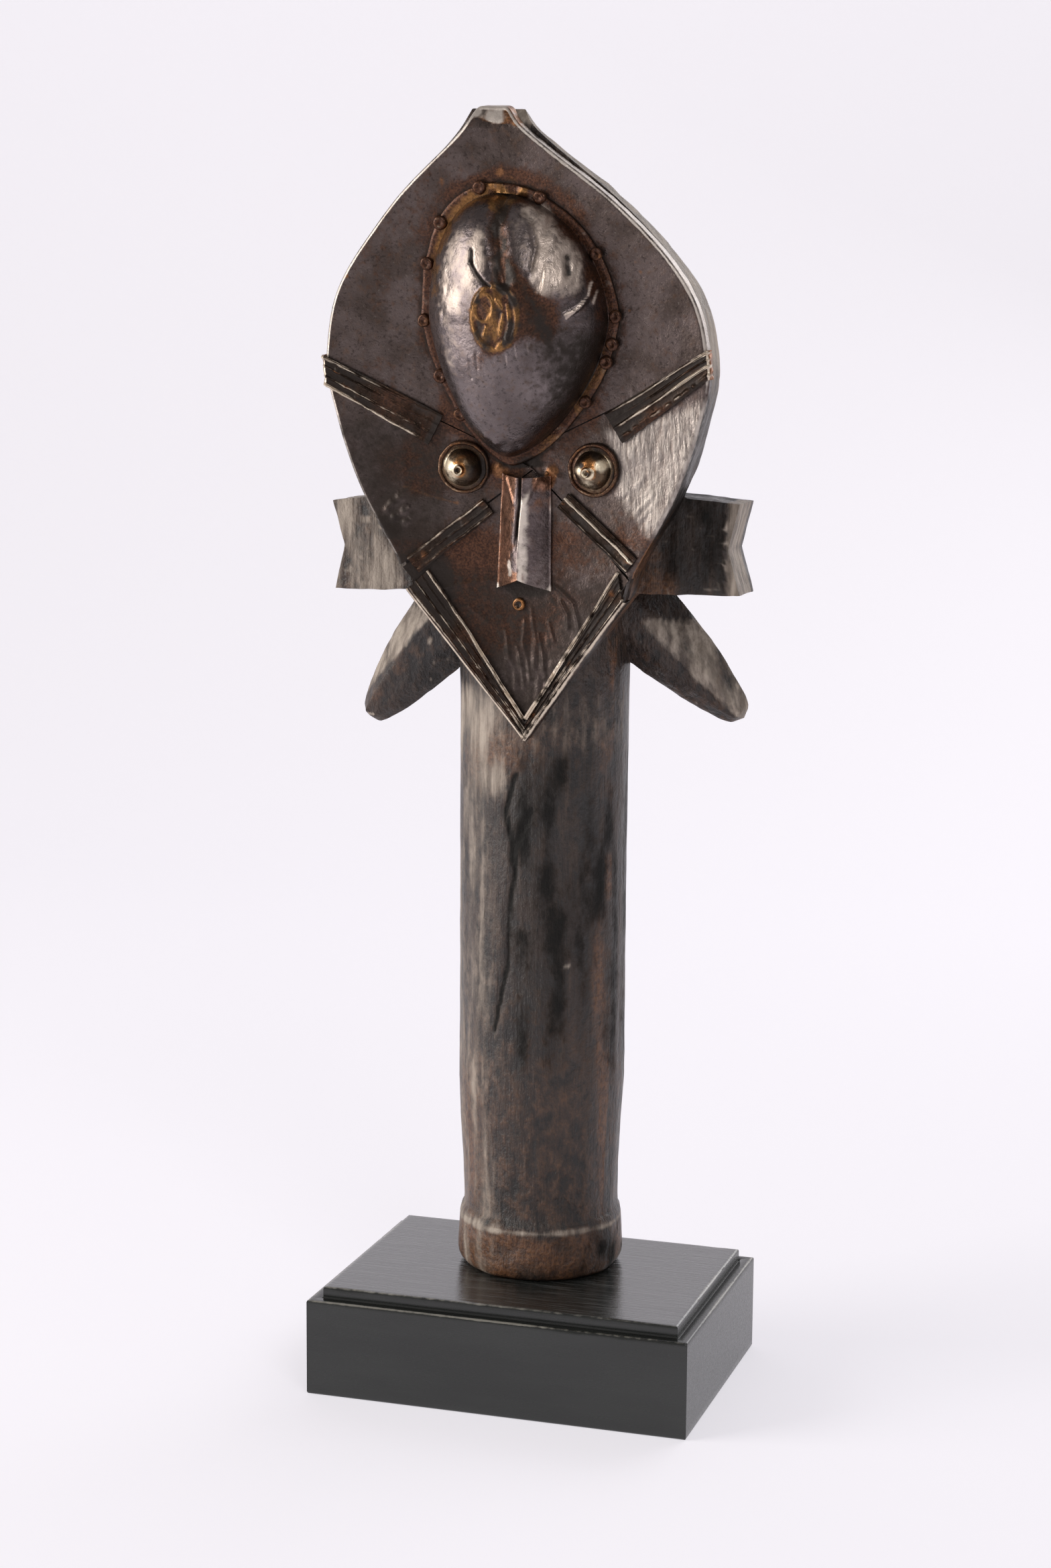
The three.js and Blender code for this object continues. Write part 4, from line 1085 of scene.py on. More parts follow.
def cheek_strip(name, side):
    start, end = placed(side["cheek_start"]), placed(side["cheek_end"])
    t = steps(CHEEK_STRIP_ROWS)
    half = CHEEK_STRIP_WIDTH / 2
    edges = [line(*beside(start, end, offset), t) for offset in (-half, half)]
    grid, glint = strip(*edges, CHEEK_STRIP_WIDTH, CHEEK_CRESTS[name])
    paint = strip_paint(grid[..., 0], grid[..., 2], glint)
    sheet_piece(f"cheek_strip_{name}", grid, paint, "strip_sheet")


def chin_strip(name, side):
    top = placed(side["chin_top"])
    point_x = float(centre_line(0)) + side["sign"] * LEAST_HALF_WIDTH
    bottom = np.array([point_x, CHIN_STRIP_END_SHARE * HEAD_HEIGHT])
    t = steps(CHIN_ROWS)
    outer = rim_point(side, lerp(CHIN_STRIP_TOP_SHARE * HEAD_HEIGHT, 0.0, t))
    width = float(np.linalg.norm(top - outer[0]))
    glints = []

    def height(x, z, share):
        rise, glint = ribs(share, 0 * x, width, CHIN_CRESTS[name], x, z)
        glints.append(glint)
        return GAP + SHEET + rise

    grid, over = folded_grid(line(top, bottom, t), outer, STRIP_COLUMNS, height)
    glint = np.zeros(grid.shape[:2])
    glint[:, :glints[0].shape[1]] = glints[0]
    paint = strip_paint(grid[..., 0], grid[..., 2], glint, over)
    sheet_piece(f"chin_strip_{name}", grid, paint, "strip_sheet")


# Forehead cap

# Lines, outlines and places on the cap, in the face's x and z
CREASE = [(-5.6, 179.2), (-3.8, 175.6), (-3.6, 170.4), (-2.1, 165.5), (-0.5, 158.9), (1.3, 153.8)]
# Outline of the cap's left side, rubbed metal with a painted highlight
LEFT_SHEEN = [
    (-24.9, 157.2), (-20.8, 167.5), (-14.3, 171.5), (-7.5, 170), (-5, 160), (-6.7, 151), (-11.8, 145),
    (-14.4, 135.1), (-16.5, 124), (-20.5, 127), (-22.5, 140),
]
RIGHT_SHEET = [
    (1, 177), (8, 176.5), (12, 172.5), (19, 165.5), (22.8, 159.2), (24, 152), (22.5, 147), (16, 147.5),
    (10.5, 149.8), (8.5, 155), (10, 158), (10.4, 164.5), (7.4, 171), (3.7, 173),
]
FOLDED_SHEET = [
    (-1.5, 176.5), (4, 173), (7.5, 170.5), (10.4, 164.5), (9.5, 157), (5, 157.5), (1.5, 165), (-0.5, 171),
]
RIGHT_GROOVE = [(3.7, 174.2), (7.1, 171.7), (10.1, 164.5), (9.8, 157.9)]
CRACKS = [[(-10.8, 159.5), (-8.5, 156.2), (-5.8, 153.4), (-3.4, 152.2)], [(-10.8, 163), (-10.6, 159.5)]]
DENT = [(18.6, 161.2), (19.1, 158.6), (19.8, 156)]
OVAL_LINES = [
    [(2.6, 146.5), (3.4, 141), (2.2, 135.5), (-0.5, 133.2)], [(1.2, 143.5), (0.4, 139.5), (0.1, 137.1)],
    [(-4.5, 139.5), (-5.3, 136.5)], [(-1, 148), (0.8, 145.5)],
]
DARK_BAND = [(2.5, 157), (5.1, 154.9), (8.4, 149.8), (11.6, 143.6), (14.6, 137.3)]
BRIGHT_ARCS = [
    [(25.6, 152.9), (25.3, 149), (23.3, 145.2), (20.1, 142.3)],
    [(24.4, 147.1), (22.2, 144.8), (19.7, 143.4)], [(27, 150), (26.6, 146.5)],
]
UPPER_RIM = [(-26.3, 150), (-26, 162), (-20, 174), (-11, 180)]
KNOT = [(-7.5, 183), (-5.6, 179.2), (-6.2, 176.8), (-2, 178), (1.5, 180.5), (-3.5, 174.8)]
PROW = [(-4.5, 101.3), (-1.6, 98.1), (2.5, 98.7), (-7.5, 103.5)]
SCRATCHES = [
    [(4.5, 134), (5, 130)], [(8.5, 134.5), (8.8, 131.5)], [(12.3, 133.5), (12.5, 130.5)],
    [(1.5, 131), (1.8, 128)], [(5.5, 127.5), (6.5, 125.5)], [(-8.5, 131), (-8.2, 126)],
    [(-11, 128), (-10.6, 122.5)],
]

# Patches, as a middle with half their breadth and half their height
OVAL = ((-1.9, 142.3), 7.6, 10)
INNER_OVAL = ((-5.4, 145.4), 3.2, 4.4)
STAIN = ((-22.5, 148), 3, 9)

# Marks on the cap, as (strength, width, one or more places)
CAP_RELIEF = [
    (-0.8, 1.0, *RIGHT_GROOVE), (-0.8, 1.3, *DENT), *traces(-0.8, 0.5, CRACKS), *traces(-0.3, 0.5, SCRATCHES),
    *traces(0.6, 0.6, BRIGHT_ARCS), *traces(0.5, 0.6, OVAL_LINES),
    *dots(1.3, 1.8, KNOT), *dots(0.7, 1.3, PROW),
]
CAP_BRIGHT = [*traces(0.85, 0.5, BRIGHT_ARCS), *traces(0.3, 0.5, SCRATCHES), *dots(0.3, 1.0, PROW)]
CAP_GOLD = [
    *traces(0.8, 0.5, OVAL_LINES), *dots(0.8, 2.0, KNOT), (0.5, 1.6, (1.5, 157)), (0.4, 1.2, *RIGHT_GROOVE),
]
CAP_DARK = [(0.8, 6, (9, 146)), (0.7, 5, (13, 141)), (0.6, 5, (5, 138)), (0.5, 5, (-4, 131))]
CAP_GRIME = [*traces(1, 0.6, CRACKS), (0.8, 1.1, *DENT), (0.5, 1.0, *RIGHT_GROOVE)]

# How far the dome's front is drawn in, so that its relief stays inside the solid
CAP_SETTLING = 0.85
CAP_COLUMNS = 300
CAP_ROWS = 110


def cap_relief(x, z):
    """Dents, folds and cracks of the cap, out from its smooth dome."""
    places = flat_points(x, z)
    sheet = region(x, z, RIGHT_SHEET, 1.2)
    away, share = line_gap(x, z, CREASE)
    height = 0.3 * noise(places, 13, 51) + 0.08 * rough(places, 5, 53)
    height -= 1.7 * (1 + 0.4 * noise(places, 4, 54)) * bell(away / lerp(3.1, 2.4, share))
    height += sheet * (0.4 + 0.6 * noise(places, (2.0, 1, 9), 57) + 0.25 * noise(places, (0.9, 1, 4), 58))
    height += 0.55 * loop(x, z, *OVAL, 0.8) + 0.45 * loop(x, z, *INNER_OVAL, 0.6)
    height += 0.4 * blob(x, z, *STAIN) * noise(places, (1.6, 1, 3), 59)
    return height + marked(x, z, CAP_RELIEF)


def cap_bright(x, z, flange, crease, sheet, folded):
    """Rubbed metal and painted highlights on the cap's left side and on the sheet at its right, and rubbed
    metal along its scratches.
    """
    places = flat_points(x, z)
    # Rubbed metal and painted highlight on the left side and on the sheet at the right
    sheen = region(x, z, LEFT_SHEEN, 3.4) * (1 - crease) * lerp(0.55, 1, smoothstep(128, 146, z))
    bright = (0.47 + 0.35 * noise(places, (4, 1, 7), 66)) * sheen + 0.3 * folded
    bright += 0.72 * sheet * (1 + 0.3 * noise(places, (1.8, 1, 8), 60))
    # Painted highlights by the crease and low on the left
    bright += 0.6 * blob(x, z, (-8.4, 162), 2.8, 7) * (1 - crease)
    bright += 0.22 * blob(x, z, (-17, 126), 6, 16, -0.25)
    bright += 0.3 * flange * smoothstep(0.2, 0.6, noise(places, 4, 61))
    return bright + marked(x, z, CAP_BRIGHT)


def cap_warm(x, z, flange, oval, upper_rim, rim):
    """Gilt of the oval patch, the knot, the upper rim and parts of the flange."""
    places = flat_points(x, z)
    flange_share = 0.15 + 0.35 * smoothstep(0, 10, x) * smoothstep(150, 140, z)
    warm = oval * (0.35 + 0.4 * noise(places, (1.6, 1, 3.5), 67)) + marked(x, z, CAP_GOLD)
    warm += 0.7 * loop(x, z, *OVAL, 0.7) + 0.7 * loop(x, z, *INNER_OVAL, 0.6)
    warm += upper_rim * (0.75 + 0.5 * noise(places, 3, 62))
    warm += flange * flange_share * smoothstep(-0.2, 0.5, noise(places, 5, 63))
    return warm + 0.3 * rim * smoothstep(140, 120, z) * smoothstep(0, 12, x)


def cap_grime_and_shade(x, z, flange, oval, crease, band_mark, dark_side):
    """Dirt in the crease, the cracks and the oval patch, darker at the dome's foot, and painted shade on the
    dome's lower right and under its lower end.
    """
    places = flat_points(x, z)
    # The dome's lower right, turned from the light, gets painted shade
    lower_right = smoothstep(-2, 16, x) * smoothstep(142, 132, z)
    foot = smoothstep(-1.6, 0, boss_distance(x, z) + CAP_FLANGE)
    grime = crease * (0.6 + 0.5 * noise(places, (2, 1, 5), 68)) + 0.35 * dark_side + 0.3 * band_mark
    grime += 0.55 * oval * (0.65 + noise(places, (1.8, 1, 4), 65))
    grime += (0.45 * lower_right + 0.5 * foot) * (1 - flange)
    # More painted shade on the right, and a painted shadow under the cap's lower end
    grime += 0.3 * smoothstep(10, 22, x) * smoothstep(145, 135, z) + blob(x, z, (3, 93), 6.5, 2.2)
    grime += 0.7 * blob(x, z, *STAIN) * smoothstep(0.2, 0.5, noise(places, (1.6, 1, 3), 59))
    return grime + marked(x, z, CAP_GRIME)


def cap_paint(x, z, flange):
    """Spots of the cap's patina, where flange is 1 on the flange and 0 elsewhere."""
    crease = stroke(x, z, CREASE, 3.6)
    middle, across, up = OVAL
    oval = smoothstep(1.15, 0.85, np.hypot((x - middle[0]) / (across + 1), (z - middle[1]) / (up + 1)))
    band_mark = stroke(x, z, DARK_BAND, 3.2)
    upper_rim = stroke(x, z, UPPER_RIM, 3.4)
    rim = smoothstep(-3.5, -1, boss_distance(x, z) + CAP_FLANGE) * (1 - flange)
    sheet = region(x, z, RIGHT_SHEET, 1.8) * smoothstep(144, 154, z)
    folded = region(x, z, FOLDED_SHEET, 1.8) * (1 - crease)
    dark_side = marked(x, z, CAP_DARK)
    rust = 0.95 * crease + 0.9 * oval + 0.75 * band_mark + 0.8 * flange + 0.6 * rim + dark_side
    rust += 0.3 * smoothstep(0.1, 0.6, noise(flat_points(x, z), 8, 64))
    bright = cap_bright(x, z, flange, crease, sheet, folded) * (1 - 0.9 * oval) * (1 - 0.8 * upper_rim)
    return {
        "bright": bright,
        "warm": cap_warm(x, z, flange, oval, upper_rim, rim),
        "rust": rust,
        "grime": cap_grime_and_shade(x, z, flange, oval, crease, band_mark, dark_side),
        "hatch": 0.75 * sheet + 0.55 * folded,
    }


def boss_ring(turn, rise, inset, height):
    """Rings of the dome over the boss, from its foot at a rise of 0 to its top at a quarter turn."""
    power = 2 / (2 + BOSS_BLUNTNESS * np.maximum(-np.sin(turn), 0))
    spread = np.cos(rise) ** power
    edge = boss_outline(turn, inset) * spread[..., None] + placed(BOSS_PLACE)
    return face_point(edge[..., 0], edge[..., 1], height * np.sin(rise) ** power - SHEET_STACK)


def cap_lips(turn):
    """Rings of the flange, from under its edge, over it and in to the dome's foot."""
    foot = SHEET_STACK + GAP
    lift = foot + SHEET
    profile = [
        (0.3, foot), (0.0, foot + 0.4), (0.3, lift), (1.2, lift + 0.15), (2.4, lift), (3.1, lift),
    ]
    lips = []
    for inset, height in profile:
        rim = boss_point(turn, inset + 0.25 * noise(np.stack([turn * 6, 0 * turn, 0 * turn], -1), 1, 71))
        raised = marked(rim[:, 0], rim[:, 1], dots(1.4, 2.0, KNOT)) if height >= lift else 0
        lips.append(face_point(rim[:, 0], rim[:, 1], height + raised - SHEET_STACK))
    return np.array(lips)


def forehead_cap():
    """The domed sheet, with its inner skin, its flange and its beaten outer skin in one closed mesh."""
    turn = np.linspace(0, 2 * np.pi, int(CAP_COLUMNS * FINE), endpoint=False)
    rise = np.linspace(0, np.pi / 2, int(CAP_ROWS * FINE) + 1)[:-1]
    turns, rises = np.meshgrid(turn, rise)
    dome = boss_ring(turns, rises, CAP_FLANGE, BOSS_HEIGHT + SHEET_STACK)
    edge_height = face_y(dome[..., 0], dome[..., 2]) - unevenness(dome[..., 0], dome[..., 2])
    dome[..., 1] = np.minimum(dome[..., 1], edge_height - GAP - SHEET)
    wrapped = np.concatenate([dome, dome[:, :1]], axis=1)
    normals = grid_normals(wrapped)[:, :-1]
    relief = cap_relief(dome[..., 0], dome[..., 2]) * smoothstep(0, 0.25, rises)
    relief -= CAP_SETTLING * np.sin(rises) ** 2
    dome = dome + normals * relief[..., None]
    inner = boss_ring(turns, rises, CAP_FLANGE + SHEET, BOSS_HEIGHT + GAP)
    inner = (inner + normals * relief[..., None])[::-1]
    lips = cap_lips(turn)
    rings = np.concatenate([inner, lips, dome])
    points, faces = ring_solid(rings, inner[0].mean(0), dome[-1].mean(0))
    flange = np.zeros(rings.shape[:2])
    flange[len(inner):len(inner) + len(lips)] = 1
    flange = np.concatenate([[0], flange.ravel(), [0]])
    paint = cap_paint(points[:, 0], points[:, 2], flange)
    new_piece("forehead_cap", head_to_world(points), faces, "cap_sheet", "forehead_cap", paint)


# Nose

NOSE_SPLIT = [(0.9, 89), (0.7, 80), (0.3, 75.4), (-0.5, 64)]
NOSE_FOLDS = traces(1, 0.7, [[(-1.5, 80), (-4.5, 86), (-6, 89)], [(2.5, 80), (5, 86), (6.5, 89)]])
NOSE_CORNERS = [(0.9, 1.5, (6.5, 87.5)), (0.8, 1.3, (8.4, 86)), (0.7, 1.4, (-5.5, 87.4))]
NOSE_GLINT = [(1, 1.0, (-2.9, 60.5), (-2.6, 56.5))]


def nose_paint(x, z, t, a, split, folds):
    """Spots of the nose's patina, with painted highlights along its ridge, on its feet and on its lower end.
    t runs down the nose from 0 to 1, and a across it from -1 to 1.
    """
    places = flat_points(x, z)
    across = x - lerp(0.6, 0.3, t) + 0.35 * noise(np.stack([0 * x, 0 * x, z], -1), 8, 81)
    ridge = bell((across - 1.6) / 1.9) * smoothstep(0.04, 0.25, t)
    edges = smoothstep(0.9, 0.97, np.abs(a)) * (0.6 + 0.4 * noise(places, 6, 86))
    feet = smoothstep(0.93, 1.0, t) * smoothstep(0.8, 0.95, np.abs(a))
    left = smoothstep(-0.1, -0.45, a)
    # Painted highlights along the ridge and on the feet, and worn bright edges
    bright = ridge * (0.85 + 0.45 * noise(places, (1.2, 1, 7), 88)) + 0.45 * edges + 0.9 * feet
    warm = 0.8 * left * (1 - 0.6 * ridge) + smoothstep(0.16, 0.03, t) * np.abs(a)
    # A gold painted highlight on the lower end
    warm += 0.8 * smoothstep(0.86, 0.95, t) * smoothstep(0.45, 0.2, np.abs(a + 0.1))
    warm += 0.4 * smoothstep(0.45, 0.1, t) * smoothstep(0.3, 0.6, a)
    return {
        "bright": bright + marked(x, z, NOSE_GLINT) + 0.2 * folds,
        "warm": warm + 0.3 * smoothstep(0, 0.5, noise(places, 5, 87)),
        "rust": 0.2 * left + 0.35 * smoothstep(0.3, 0, t) + 0 * x,
        "grime": split + 0.25 * smoothstep(0.3, 0.8, a) * smoothstep(0.4, 1.0, t),
    }


def nose_strip():
    """A folded sheet with a ridge between two flat sides, split at its top and open at its lower end, its
    ridge painted bright as wear and highlight.
    """
    top, end = placed(NOSE_TOP_PLACE), placed(NOSE_END_PLACE)
    t = steps(NOSE_ROWS)[:, None]
    a = (2 * steps(NOSE_COLUMNS) - 1)[None]
    x = lerp(top[0], end[0], t) + a * lerp(NOSE_TOP_HALF_WIDTH, NOSE_END_HALF_WIDTH, t)
    z = lerp(top[1], end[1], t) + t * NOSE_END_CUT * (1 - np.abs(a))
    places = flat_points(x, z)
    split = stroke(x, z, NOSE_SPLIT, 0.6) * smoothstep(0.75, 0.5, t)
    folds = marked(x, z, NOSE_FOLDS)
    height = NOSE_HEIGHT * (1 - np.abs(a) ** 1.4) + 0.2 * noise(places, 7, 83)
    height += 0.12 * rough(places, 2.5, 85) + 0.5 * folds - 1.6 * split + marked(x, z, NOSE_CORNERS)
    grid = face_point(x, z, GAP + np.maximum(height, 0.5))
    paint = nose_paint(x, z, t, a, split, folds)
    sheet_piece("nose_strip", grid, paint, "nose_sheet", NOSE_SHEET)


# Eyes, mouth and tacks

def seated_matrix(place, height):
    """Matrix from a turned piece's own frame, its axis along y, to the face at a place."""
    x, z = place
    step = 0.5

    def slope(dx, dz):
        ends = [face_point(np.array(x + s * dx), np.array(z + s * dz), 0.0) for s in (-step, step)]
        return Vector(ends[1] - ends[0])

    outward_axis = slope(1, 0).cross(slope(0, 1)).normalized()
    if outward_axis.y > 0:
        outward_axis.negate()
    seat = Vector(face_point(np.array(x), np.array(z), 0.0)) + outward_axis * height
    return Matrix.Translation(seat) @ Vector((0, 1, 0)).rotation_difference(outward_axis).to_matrix().to_4x4()


def turned_piece(name, profile, place, height, paint_at, sides, uneven):
    """A small turned piece, a little out of true.

    paint_at gives its paint from x and z about its middle, the share of its height and its points.
    """
    profile = np.array(profile, float)
    turn = np.linspace(0, 2 * np.pi, int(sides * max(FINE, 0.5)), endpoint=False)
    radius, rise = profile[1:-1, 0][:, None], profile[1:-1, 1][:, None]
    rings = np.stack([radius * np.cos(turn), rise + 0 * turn, radius * np.sin(turn)], -1)
    rings *= (1 + uneven * noise(rings + place[0], 2.5, 90))[..., None]
    ends = [np.array([0.0, rise_at, 0.0]) for rise_at in (profile[0, 1], profile[-1, 1])]
    points, faces = ring_solid(rings, *ends)
    low, high = profile[:, 1].min(), profile[:, 1].max()
    matrix = np.array(seated_matrix(place, height))
    seated = points @ matrix[:3, :3].T + matrix[:3, 3]
    up = (points[:, 1] - low) / (high - low)
    paint = paint_at(seated[:, 0] - place[0], seated[:, 2] - place[1], up, seated)
    new_piece(name, head_to_world(seated), faces, "nails", name, paint)


def arc(radius, start, end, middle, count):
    """Points of a profile along part of a circle about a middle on the axis."""
    turn = np.linspace(start, end, count)
    return [(radius * math.cos(a), middle + radius * math.sin(a)) for a in turn]


def seating_gap(radius):
    return GAP + 2 * FACE_HOLLOW / HEAD_HALF_WIDTH ** 2 * radius ** 2


# The bright marks on each eye are painted highlights on its dome, and the dark marks painted shade on it
EYE_MARKS = {
    "left": {
        "bright": [(1.2, 1.9, (-4.8, 1.6)), (1.1, 1.3, (-2.6, 1.0)), (0.6, 2.8, (-3, -3))],
        "warm": [(0.5, 3.0, (0, 3)), (0.4, 2.0, (2, -1))],
        "grime": [(0.8, 4.0, (5.5, 0)), (0.4, 2.5, (1, -5))],
    },
    "right": {
        "bright": [(1.2, 1.8, (4.0, 2.4)), (0.8, 1.5, (-3.8, 0.6)), (0.5, 2.8, (-0.5, -3.6))],
        "warm": [(1.0, 2.6, (-0.2, 2.8)), (0.5, 1.6, (3.2, -3.4))],
        "grime": [(0.9, 1.3, (-2.6, 2.2)), (0.7, 2.2, (1.2, 5.4)), (0.4, 2.5, (5.6, -1))],
    },
}


def eye_paint(name):
    marks = EYE_MARKS[name]

    def paint_at(x, z, up, points):
        away = np.hypot(x, z)
        washer = smoothstep(6.2, 6.9, away)
        knob = loop(x, z, (0, 0), 1.5, 1.5, 0.35) * (up > 0.6)
        knob_foot = loop(x, z, (0, 0), 2.3, 2.3, 0.5) * (up > 0.5)
        pit = smoothstep(0.8, 0.4, away) * (up > 0.6)
        bead = bell((away - EYE_WASHER_RADIUS + EYE_WASHER_BEAD) / 0.5)
        dome = (0.12 + marked(x, z, marks["bright"])) * (1 - washer)
        return {
            "bright": dome + 0.8 * knob + 0.3 * bead * (0.6 + noise(points, 5, 92)),
            "warm": marked(x, z, marks["warm"]) + 0.4 * bead + 0.5 * knob_foot,
            "rust": 0.6 * washer + 0.3 * smoothstep(0, 0.5, noise(points, 3, 93)) * (1 - knob),
            "grime": marked(x, z, marks["grime"]) + 0.5 * washer * (1 - bead) + pit,
        }

    return paint_at


# Profiles of the nails' heads, as shares of their radius and height
EYE_KNOB_SHAPE = [(0.97, 0.2), (0.92, 0.5), (0.75, 0.75), (0.55, 0.72), (0.38, 0.5), (0.3, 0.2)]
TACK_SHAPE = [
    (0, 0), (1, 0), (1, 0.1), (1, 0.35), (0.9, 0.65), (0.7, 0.85), (0.45, 0.8), (0.25, 0.6), (0, 0.55),
]
MOUTH_SHAPE = [
    (0, 0), (1, 0), (0.97, 0.3), (0.85, 0.58), (0.7, 0.66), (0.55, 0.58), (0.42, 0.3), (0.3, 0.2), (0, 0.2),
]


def eye(name, side):
    """A nail with a hollow knob on its dome, driven through a washer with a rolled edge."""
    bead = EYE_WASHER_BEAD
    collar = EYE_DOME_HEIGHT - EYE_DOME_RADIUS
    knob_turn = math.asin(EYE_KNOB_RADIUS / EYE_DOME_RADIUS)
    dome = arc(EYE_DOME_RADIUS, 0.0, math.pi / 2 - knob_turn, SHEET + collar, 14)
    ring = [(EYE_WASHER_RADIUS - bead + r, rise) for r, rise in arc(bead, 0.0, math.pi, SHEET, 7)]
    foot = dome[-1][1]
    knob = [(EYE_KNOB_RADIUS * r, foot + EYE_KNOB_RADIUS * h) for r, h in EYE_KNOB_SHAPE]
    profile = [(0, 0), (EYE_WASHER_RADIUS, 0), *ring, (EYE_DOME_RADIUS + 0.4, SHEET), *dome, *knob]
    profile.append((0, foot + 0.1 * EYE_KNOB_RADIUS))
    place, seat = placed(side["eye"]), seating_gap(EYE_WASHER_RADIUS)
    turned_piece(f"eye_{name}", profile, place, seat, eye_paint(name), sides=72, uneven=0.03)


def tack_paint(x, z, up, points):
    """Dull and brown, with a glint along a ring."""
    ring = loop(x, z, (0, 0), 1.3, 1.3, 0.4)
    return {
        "bright": 0.3 * ring * (0.4 + noise(points, 1.8, 94)),
        "warm": 0.15 * up + 0.5 * noise(points, 4, 95),
        "rust": 0.8 + 0 * up,
        "grime": 0.7 * smoothstep(0.5, 0.0, up),
    }


def tack_profile(shape):
    return [(TACK_RADIUS * r, TACK_HEIGHT * h) for r, h in shape]


def tacks():
    inset = CAP_FLANGE - TACK_RADIUS - EDGE_GAP
    profile = tack_profile(TACK_SHAPE)
    height = GAP + SHEET + seating_gap(TACK_RADIUS)
    for number, turn in enumerate(TACK_TURNS, 1):
        place = boss_point(np.array(turn), inset)
        turned_piece(f"cap_tack_{number}", profile, place, height, tack_paint, sides=28, uneven=0.15)


def mouth_paint(x, z, up, points):
    """A pale worn ring round a rusty hole."""
    hole = smoothstep(1.3, 0.8, np.hypot(x, z))
    return {
        "bright": 0.25 * (1 - hole) * (0.9 + noise(points, 2, 96)),
        "warm": 0.6 * (1 - hole) + 0.2 * hole,
        "rust": 0.6 + 0 * up,
        "grime": 0.7 * hole,
    }


def mouth_tack():
    place, seat = placed(MOUTH_PLACE), seating_gap(TACK_RADIUS)
    profile = tack_profile(MOUTH_SHAPE)
    turned_piece("mouth_tack", profile, place, seat, mouth_paint, sides=36, uneven=0.06)


# Wood

def box_grid(counts):
    """Points over the six faces of a cube from -1 to 1, and the quads between them."""
    points, faces = [], []
    for axis, end in itertools.product(range(3), (-1, 1)):
        u, v = (i for i in range(3) if i != axis)
        along, across = np.meshgrid(*(np.linspace(-1, 1, counts[i] + 1) for i in (u, v)), indexing="ij")
        grid = np.full((*along.shape, 3), float(end))
        grid[..., u], grid[..., v] = along, across
        numbers = np.arange(along.size).reshape(along.shape) + sum(len(part) for part in points)
        quads = np.concatenate([band(a, b) for a, b in zip(numbers[:-1], numbers[1:])])
        faces.append(quads if end * (-1) ** axis < 0 else quads[:, ::-1])
        points.append(grid.reshape(-1, 3))
    points = np.concatenate(points)
    _, first, back = np.unique(np.round(points, 6), axis=0, return_index=True, return_inverse=True)
    return points[first], back.ravel()[np.concatenate(faces)]


def fine(*counts):
    return [max(int(count * FINE), 3) for count in counts]


def rolled(points, roll, place):
    """Points turned about y, and moved to a place above the base."""
    turn = np.array(Matrix.Rotation(roll, 3, "Y"))
    return points @ turn.T + np.array(place) + np.array((0, 0, BASE_HEIGHT))


NECK_COLUMNS = 150
NECK_RING_STEP = 1.6
NECK_CROWN_RINGS = 24
NECK_NOISE_RADIUS = 28

# A dark split down the neck's front, with a side branch, as [arc to the right of its front, height]
NECK_SPLIT = [(-1.5, 178), (-4.9, 165), (-2.3, 153), (-1.3, 144), (-3.1, 132.6), (-4, 112), (-9, 88)]
NECK_BRANCH = [(4.2, 165.5), (-1.3, 153)]


def neck_arc(points):
    """Where points lie round the neck, as an arc to the right of its front, and their height on it."""
    turn = np.arctan2(points[..., 1] - NECK_Y, points[..., 0] - NECK_X) + math.pi / 2
    turn = (turn + math.pi) % (2 * math.pi) - math.pi
    return NECK_RADIUS * turn, points[..., 2] - BASE_HEIGHT


def neck_wood():
    rows = []
    for (low, r0), (high, r1) in zip(NECK_PROFILE[:-1], NECK_PROFILE[1:]):
        count = max(int((high - low) / NECK_RING_STEP * FINE), 1)
        rows += [(lerp(low, high, i / count), lerp(r0, r1, i / count)) for i in range(count)]
    for a in np.linspace(0, math.pi / 2, int(NECK_CROWN_RINGS * FINE) + 4)[:-1]:
        height = NECK_CROWN_START + (NECK_TOP - NECK_CROWN_START) * math.sin(a)
        rows.append((height, NECK_SHOULDER_RADIUS * math.cos(a)))
    height, radius = np.array(rows).T[:, :, None]
    turn = np.linspace(0, 2 * np.pi, int(NECK_COLUMNS * max(FINE, 0.6)), endpoint=False)[None]
    spread = NECK_NOISE_RADIUS + 0 * height
    places = np.stack([spread * np.cos(turn), spread * np.sin(turn), height + 0 * turn], -1)
    foot = smoothstep(22, 19, height)
    broad, narrow = noise(places, (11, 11, 50), 301), noise(places, (5, 5, 22), 303)
    facets = 0.7 * np.abs(broad) + 0.25 * np.abs(narrow) - 0.35
    nicks = 0.6 * noise(places, (9, 9, 6), 305) + 0.35 * np.minimum(noise(places, (4, 4, 3), 307) + 0.3, 0)
    radius = radius - facets * (1 - foot) * smoothstep(NECK_TOP, 230, height) + nicks * foot
    lift = 0.5 * noise(places * (1, 1, 0), 16, 309) * bell((height - 19.5) / 3)
    x, y = NECK_X + radius * np.cos(turn), NECK_Y + radius * np.sin(turn)
    rings = np.stack([x, y, height + lift + BASE_HEIGHT], -1)
    ends = [np.array([NECK_X, NECK_Y, z + BASE_HEIGHT]) for z in (0.0, NECK_TOP)]
    return ring_solid(rings, *ends)


def head_slab(counts, high, inset_at, front_at, back_at):
    """Slab of the head between two surfaces, each a function of x, z and the share s across it."""
    cube, faces = box_grid(fine(*counts))
    s, depth, up = cube.T
    z = lerp(chin_inset(HEAD_SIDE_INSET + LEAST_HALF_WIDTH), high, (up + 1) / 2)
    x = centre_line(z) + s * np.maximum(half_width(z) - inset_at(z), LEAST_HALF_WIDTH)
    y = lerp(front_at(x, z, s), back_at(x, z, s), (depth + 1) / 2)
    return head_to_world(np.stack([x, y, z], -1)) / MM, faces


